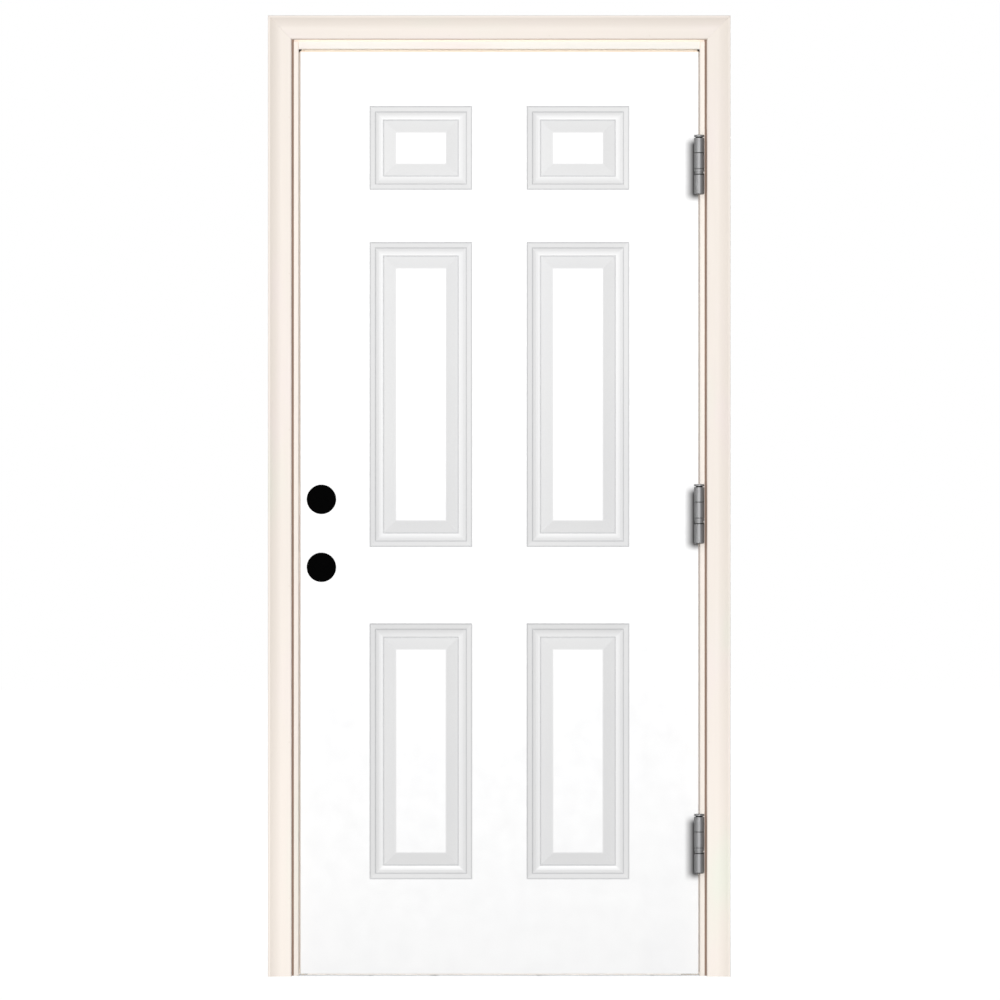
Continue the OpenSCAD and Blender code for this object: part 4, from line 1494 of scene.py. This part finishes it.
@dataclass
class Studio:
    """Pale floor, soft light and a long lens square to the door."""

    camera_place: Triple = (0.0017, -20.0, 1.035)
    lens: float = 331.1
    sensor_w: float = 36.0
    sight: float = 100.0
    dome: float = 0.2
    floor_reach: float = 30.0
    floor_grey: Colour = (120, 120, 120)
    floor_near: float = 0.93
    floor_fade: Point = (0.8, 3.0)
    lamps: tuple[Lamp, ...] = (
        Lamp("front_box", (0, -20.0, 1.7), (0, 0, 1.035), (1.4, 1.4), 2140),
        Lamp("left_box", (-4.4, -4.6, 3.4), (0, 0, 1.1), (2.0, 3.0), 54, Reach.HINGES_SHADE),
        Lamp("hinge_box", (-3.4, -3.6, 1.2), (0.43, 0, 1.03), (1.5, 2.5), 30, Reach.HINGES_LIT),
        Lamp("head_box", (0, 0.06, 0.3), (0, 0.06, 2.0), (0.9, 0.1), 6.5, Reach.GAPS_LIT),
        Lamp("sill_box", (0, 0.03, 1.7), (0, 0.03, 0), (0.9, 0.1), 34, Reach.GAPS_LIT),
        Lamp("foot_box", (0, -0.9, 0.15), (0, 0, 0.15), (0.5, 0.3), 1.25, Reach.TRIM_LIT),
        Lamp("close_box", (0, -0.8, 1.6), (0, 0, 1.6), (0.4, 0.4), 0.42),
        Lamp("back_box", (1.5, 7.0, 3.5), (0, 0, 1.0), (3.0, 3.0), 90),
        Lamp("back_left_box", (-4.0, 3.0, 1.8), (0, 0, 1.0), (1.5, 2.5), 75),
        Lamp("back_right_box", (4.0, 3.0, 1.8), (0, 0, 1.0), (1.5, 2.5), 95),
    )
    flag_w: float = 21.0
    flag_top: float = 12.0
    flag_foot: float = 8.0
    flag_soft: float = 11.0
    flag_y: float = -3.0

    def camera(self) -> None:
        """Puts the camera square in front of the door."""
        lens = bpy.data.cameras.new("view")
        lens.lens = self.lens
        lens.sensor_width = self.sensor_w
        lens.clip_end = self.sight
        made = bpy.data.objects.new("view", lens)
        made.location = self.camera_place
        made.rotation_euler = (math.pi / 2, 0, 0)
        bpy.context.scene.collection.objects.link(made)
        bpy.context.scene.camera = made

    def floor(self) -> None:
        """Lays a pale floor that the camera sees and that takes shadows, but that lights nothing."""
        mesh = bpy.data.meshes.new("floor")
        r = self.floor_reach
        mesh.from_pydata([(-r, -r, 0), (r, -r, 0), (r, r, 0), (-r, r, 0)], [], [(0, 1, 2, 3)])
        piece = new_object("floor", mesh)
        made, bench = blank_material("pale_floor")
        x, y, _ = bench.axes()
        far = ((x * x + y * y) ** 0.5).rise(*self.floor_fade)
        near = (self.floor_near, self.floor_near, self.floor_near, 1)
        bench.surface(bench.node("ShaderNodeBsdfPrincipled", {}, {
            "Base Color": linear(self.floor_grey), "Roughness": 0.9, "Specular IOR Level": 0.0,
            "Emission Color": bench.mix(far, near, (1, 1, 1, 1)), "Emission Strength": 1.0,
        }))
        mesh.materials.append(made)
        piece.visible_diffuse = False
        piece.visible_glossy = False
        piece.visible_shadow = False

    def flags(self) -> bpy.types.Object:
        """Hangs a graded flag beside each hinge, unseen, that keeps light off the face there.

        Returns:
            The flags.
        """
        made, bench = blank_material("graded_flag")
        x, _, z = bench.axes()
        points, faces, height = [], [], 0.0
        soft, y = metres(self.flag_soft, self.flag_y)
        for hinge in HINGES:
            low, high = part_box(f"{hinge}_hinge_pin")
            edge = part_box(f"{hinge}_hinge_jamb_leaf")[0][0]
            left, right = edge - self.flag_w * MM, (low[0] + high[0]) / 2
            foot, top = low[2] - self.flag_foot * MM, high[2] - self.flag_top * MM
            first = len(points)
            points += [(left, y, foot - soft), (right, y, foot - soft)]
            points += [(right, y, top + soft), (left, y, top + soft)]
            faces.append(tuple(range(first, first + 4)))
            height = height + z.band(foot, top, soft)
        mesh = bpy.data.meshes.new("hinge_flags")
        mesh.from_pydata(points, [], faces)
        piece = new_object("hinge_flags", mesh)
        clear = bench.node("ShaderNodeBsdfTransparent")
        black = bench.node("ShaderNodeBsdfDiffuse", {}, {"Color": (0, 0, 0, 1)})
        # The hinges stand on one line, so the last one's left and edge serve for all three.
        bench.surface(bench.node("ShaderNodeMixShader", {}, {
            0: x.rise(left, edge, "LINEAR") * height, 1: clear.outputs[0], 2: black.outputs[0],
        }))
        mesh.materials.append(made)
        piece.visible_camera = False
        return piece

    def world(self) -> None:
        """Makes a white surround, dimmer as a light than it looks."""
        made = bpy.data.worlds.new("studio")
        bpy.context.scene.world = made
        made.use_nodes = True
        made.node_tree.nodes.clear()
        bench = NodeBench(made.node_tree)
        seen = bench.node("ShaderNodeBackground", {}, {"Color": (1, 1, 1, 1), "Strength": 1.0})
        light = bench.node("ShaderNodeBackground", {}, {"Color": (1, 1, 1, 1), "Strength": self.dome})
        ray = bench.node("ShaderNodeLightPath").outputs["Is Camera Ray"]
        both = bench.node("ShaderNodeMixShader", {}, {0: ray, 1: light.outputs[0], 2: seen.outputs[0]})
        bench.node("ShaderNodeOutputWorld", {}, {"Surface": both.outputs[0]})

    def set_up(self, told_apart: dict[Reach, list[bpy.types.Object]]) -> None:
        """Sets the whole studio up.

        Args:
            told_apart: The pieces that each kind of lamp lights, where it doesn't light all.
        """
        self.camera()
        self.floor()
        self.world()
        groups = {}
        for reach, pieces in told_apart.items():
            groups[reach] = bpy.data.collections.new(reach.value)
            for piece in pieces:
                groups[reach].objects.link(piece)
        groups[Reach.HINGES_LIT].objects.link(self.flags())
        for lamp in self.lamps:
            lamp.hang(groups)
        bpy.context.scene.view_settings.view_transform = "Standard"


def main() -> None:
    """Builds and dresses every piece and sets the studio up."""
    logging.basicConfig(level=logging.INFO, format="%(message)s")
    for face in Face:
        PressedSkin(face).dress()
    trim = Brickmould().dress()
    EasedSolids(("hinge_jamb", "strike_jamb"), JAMB_CREAM, Body.FRAME, ease=0.5).dress()
    head = EasedSolids(("head_jamb",), HEAD_CREAM_PAINTED_LIGHT, Body.FRAME, ease=0.5).dress()
    hinges = HingeSet().dress()
    ScrewSet().dress()
    DustPlugs().dress()
    CarriedOver(CAD_FINISHES).dress()
    gaps = head + [frame["nodes"]["threshold"], frame["nodes"]["threshold_seal"]]
    Studio().set_up({Reach.HINGES_LIT: hinges, Reach.GAPS_LIT: gaps, Reach.TRIM_LIT: trim})


if __name__ == "__main__":
    main()
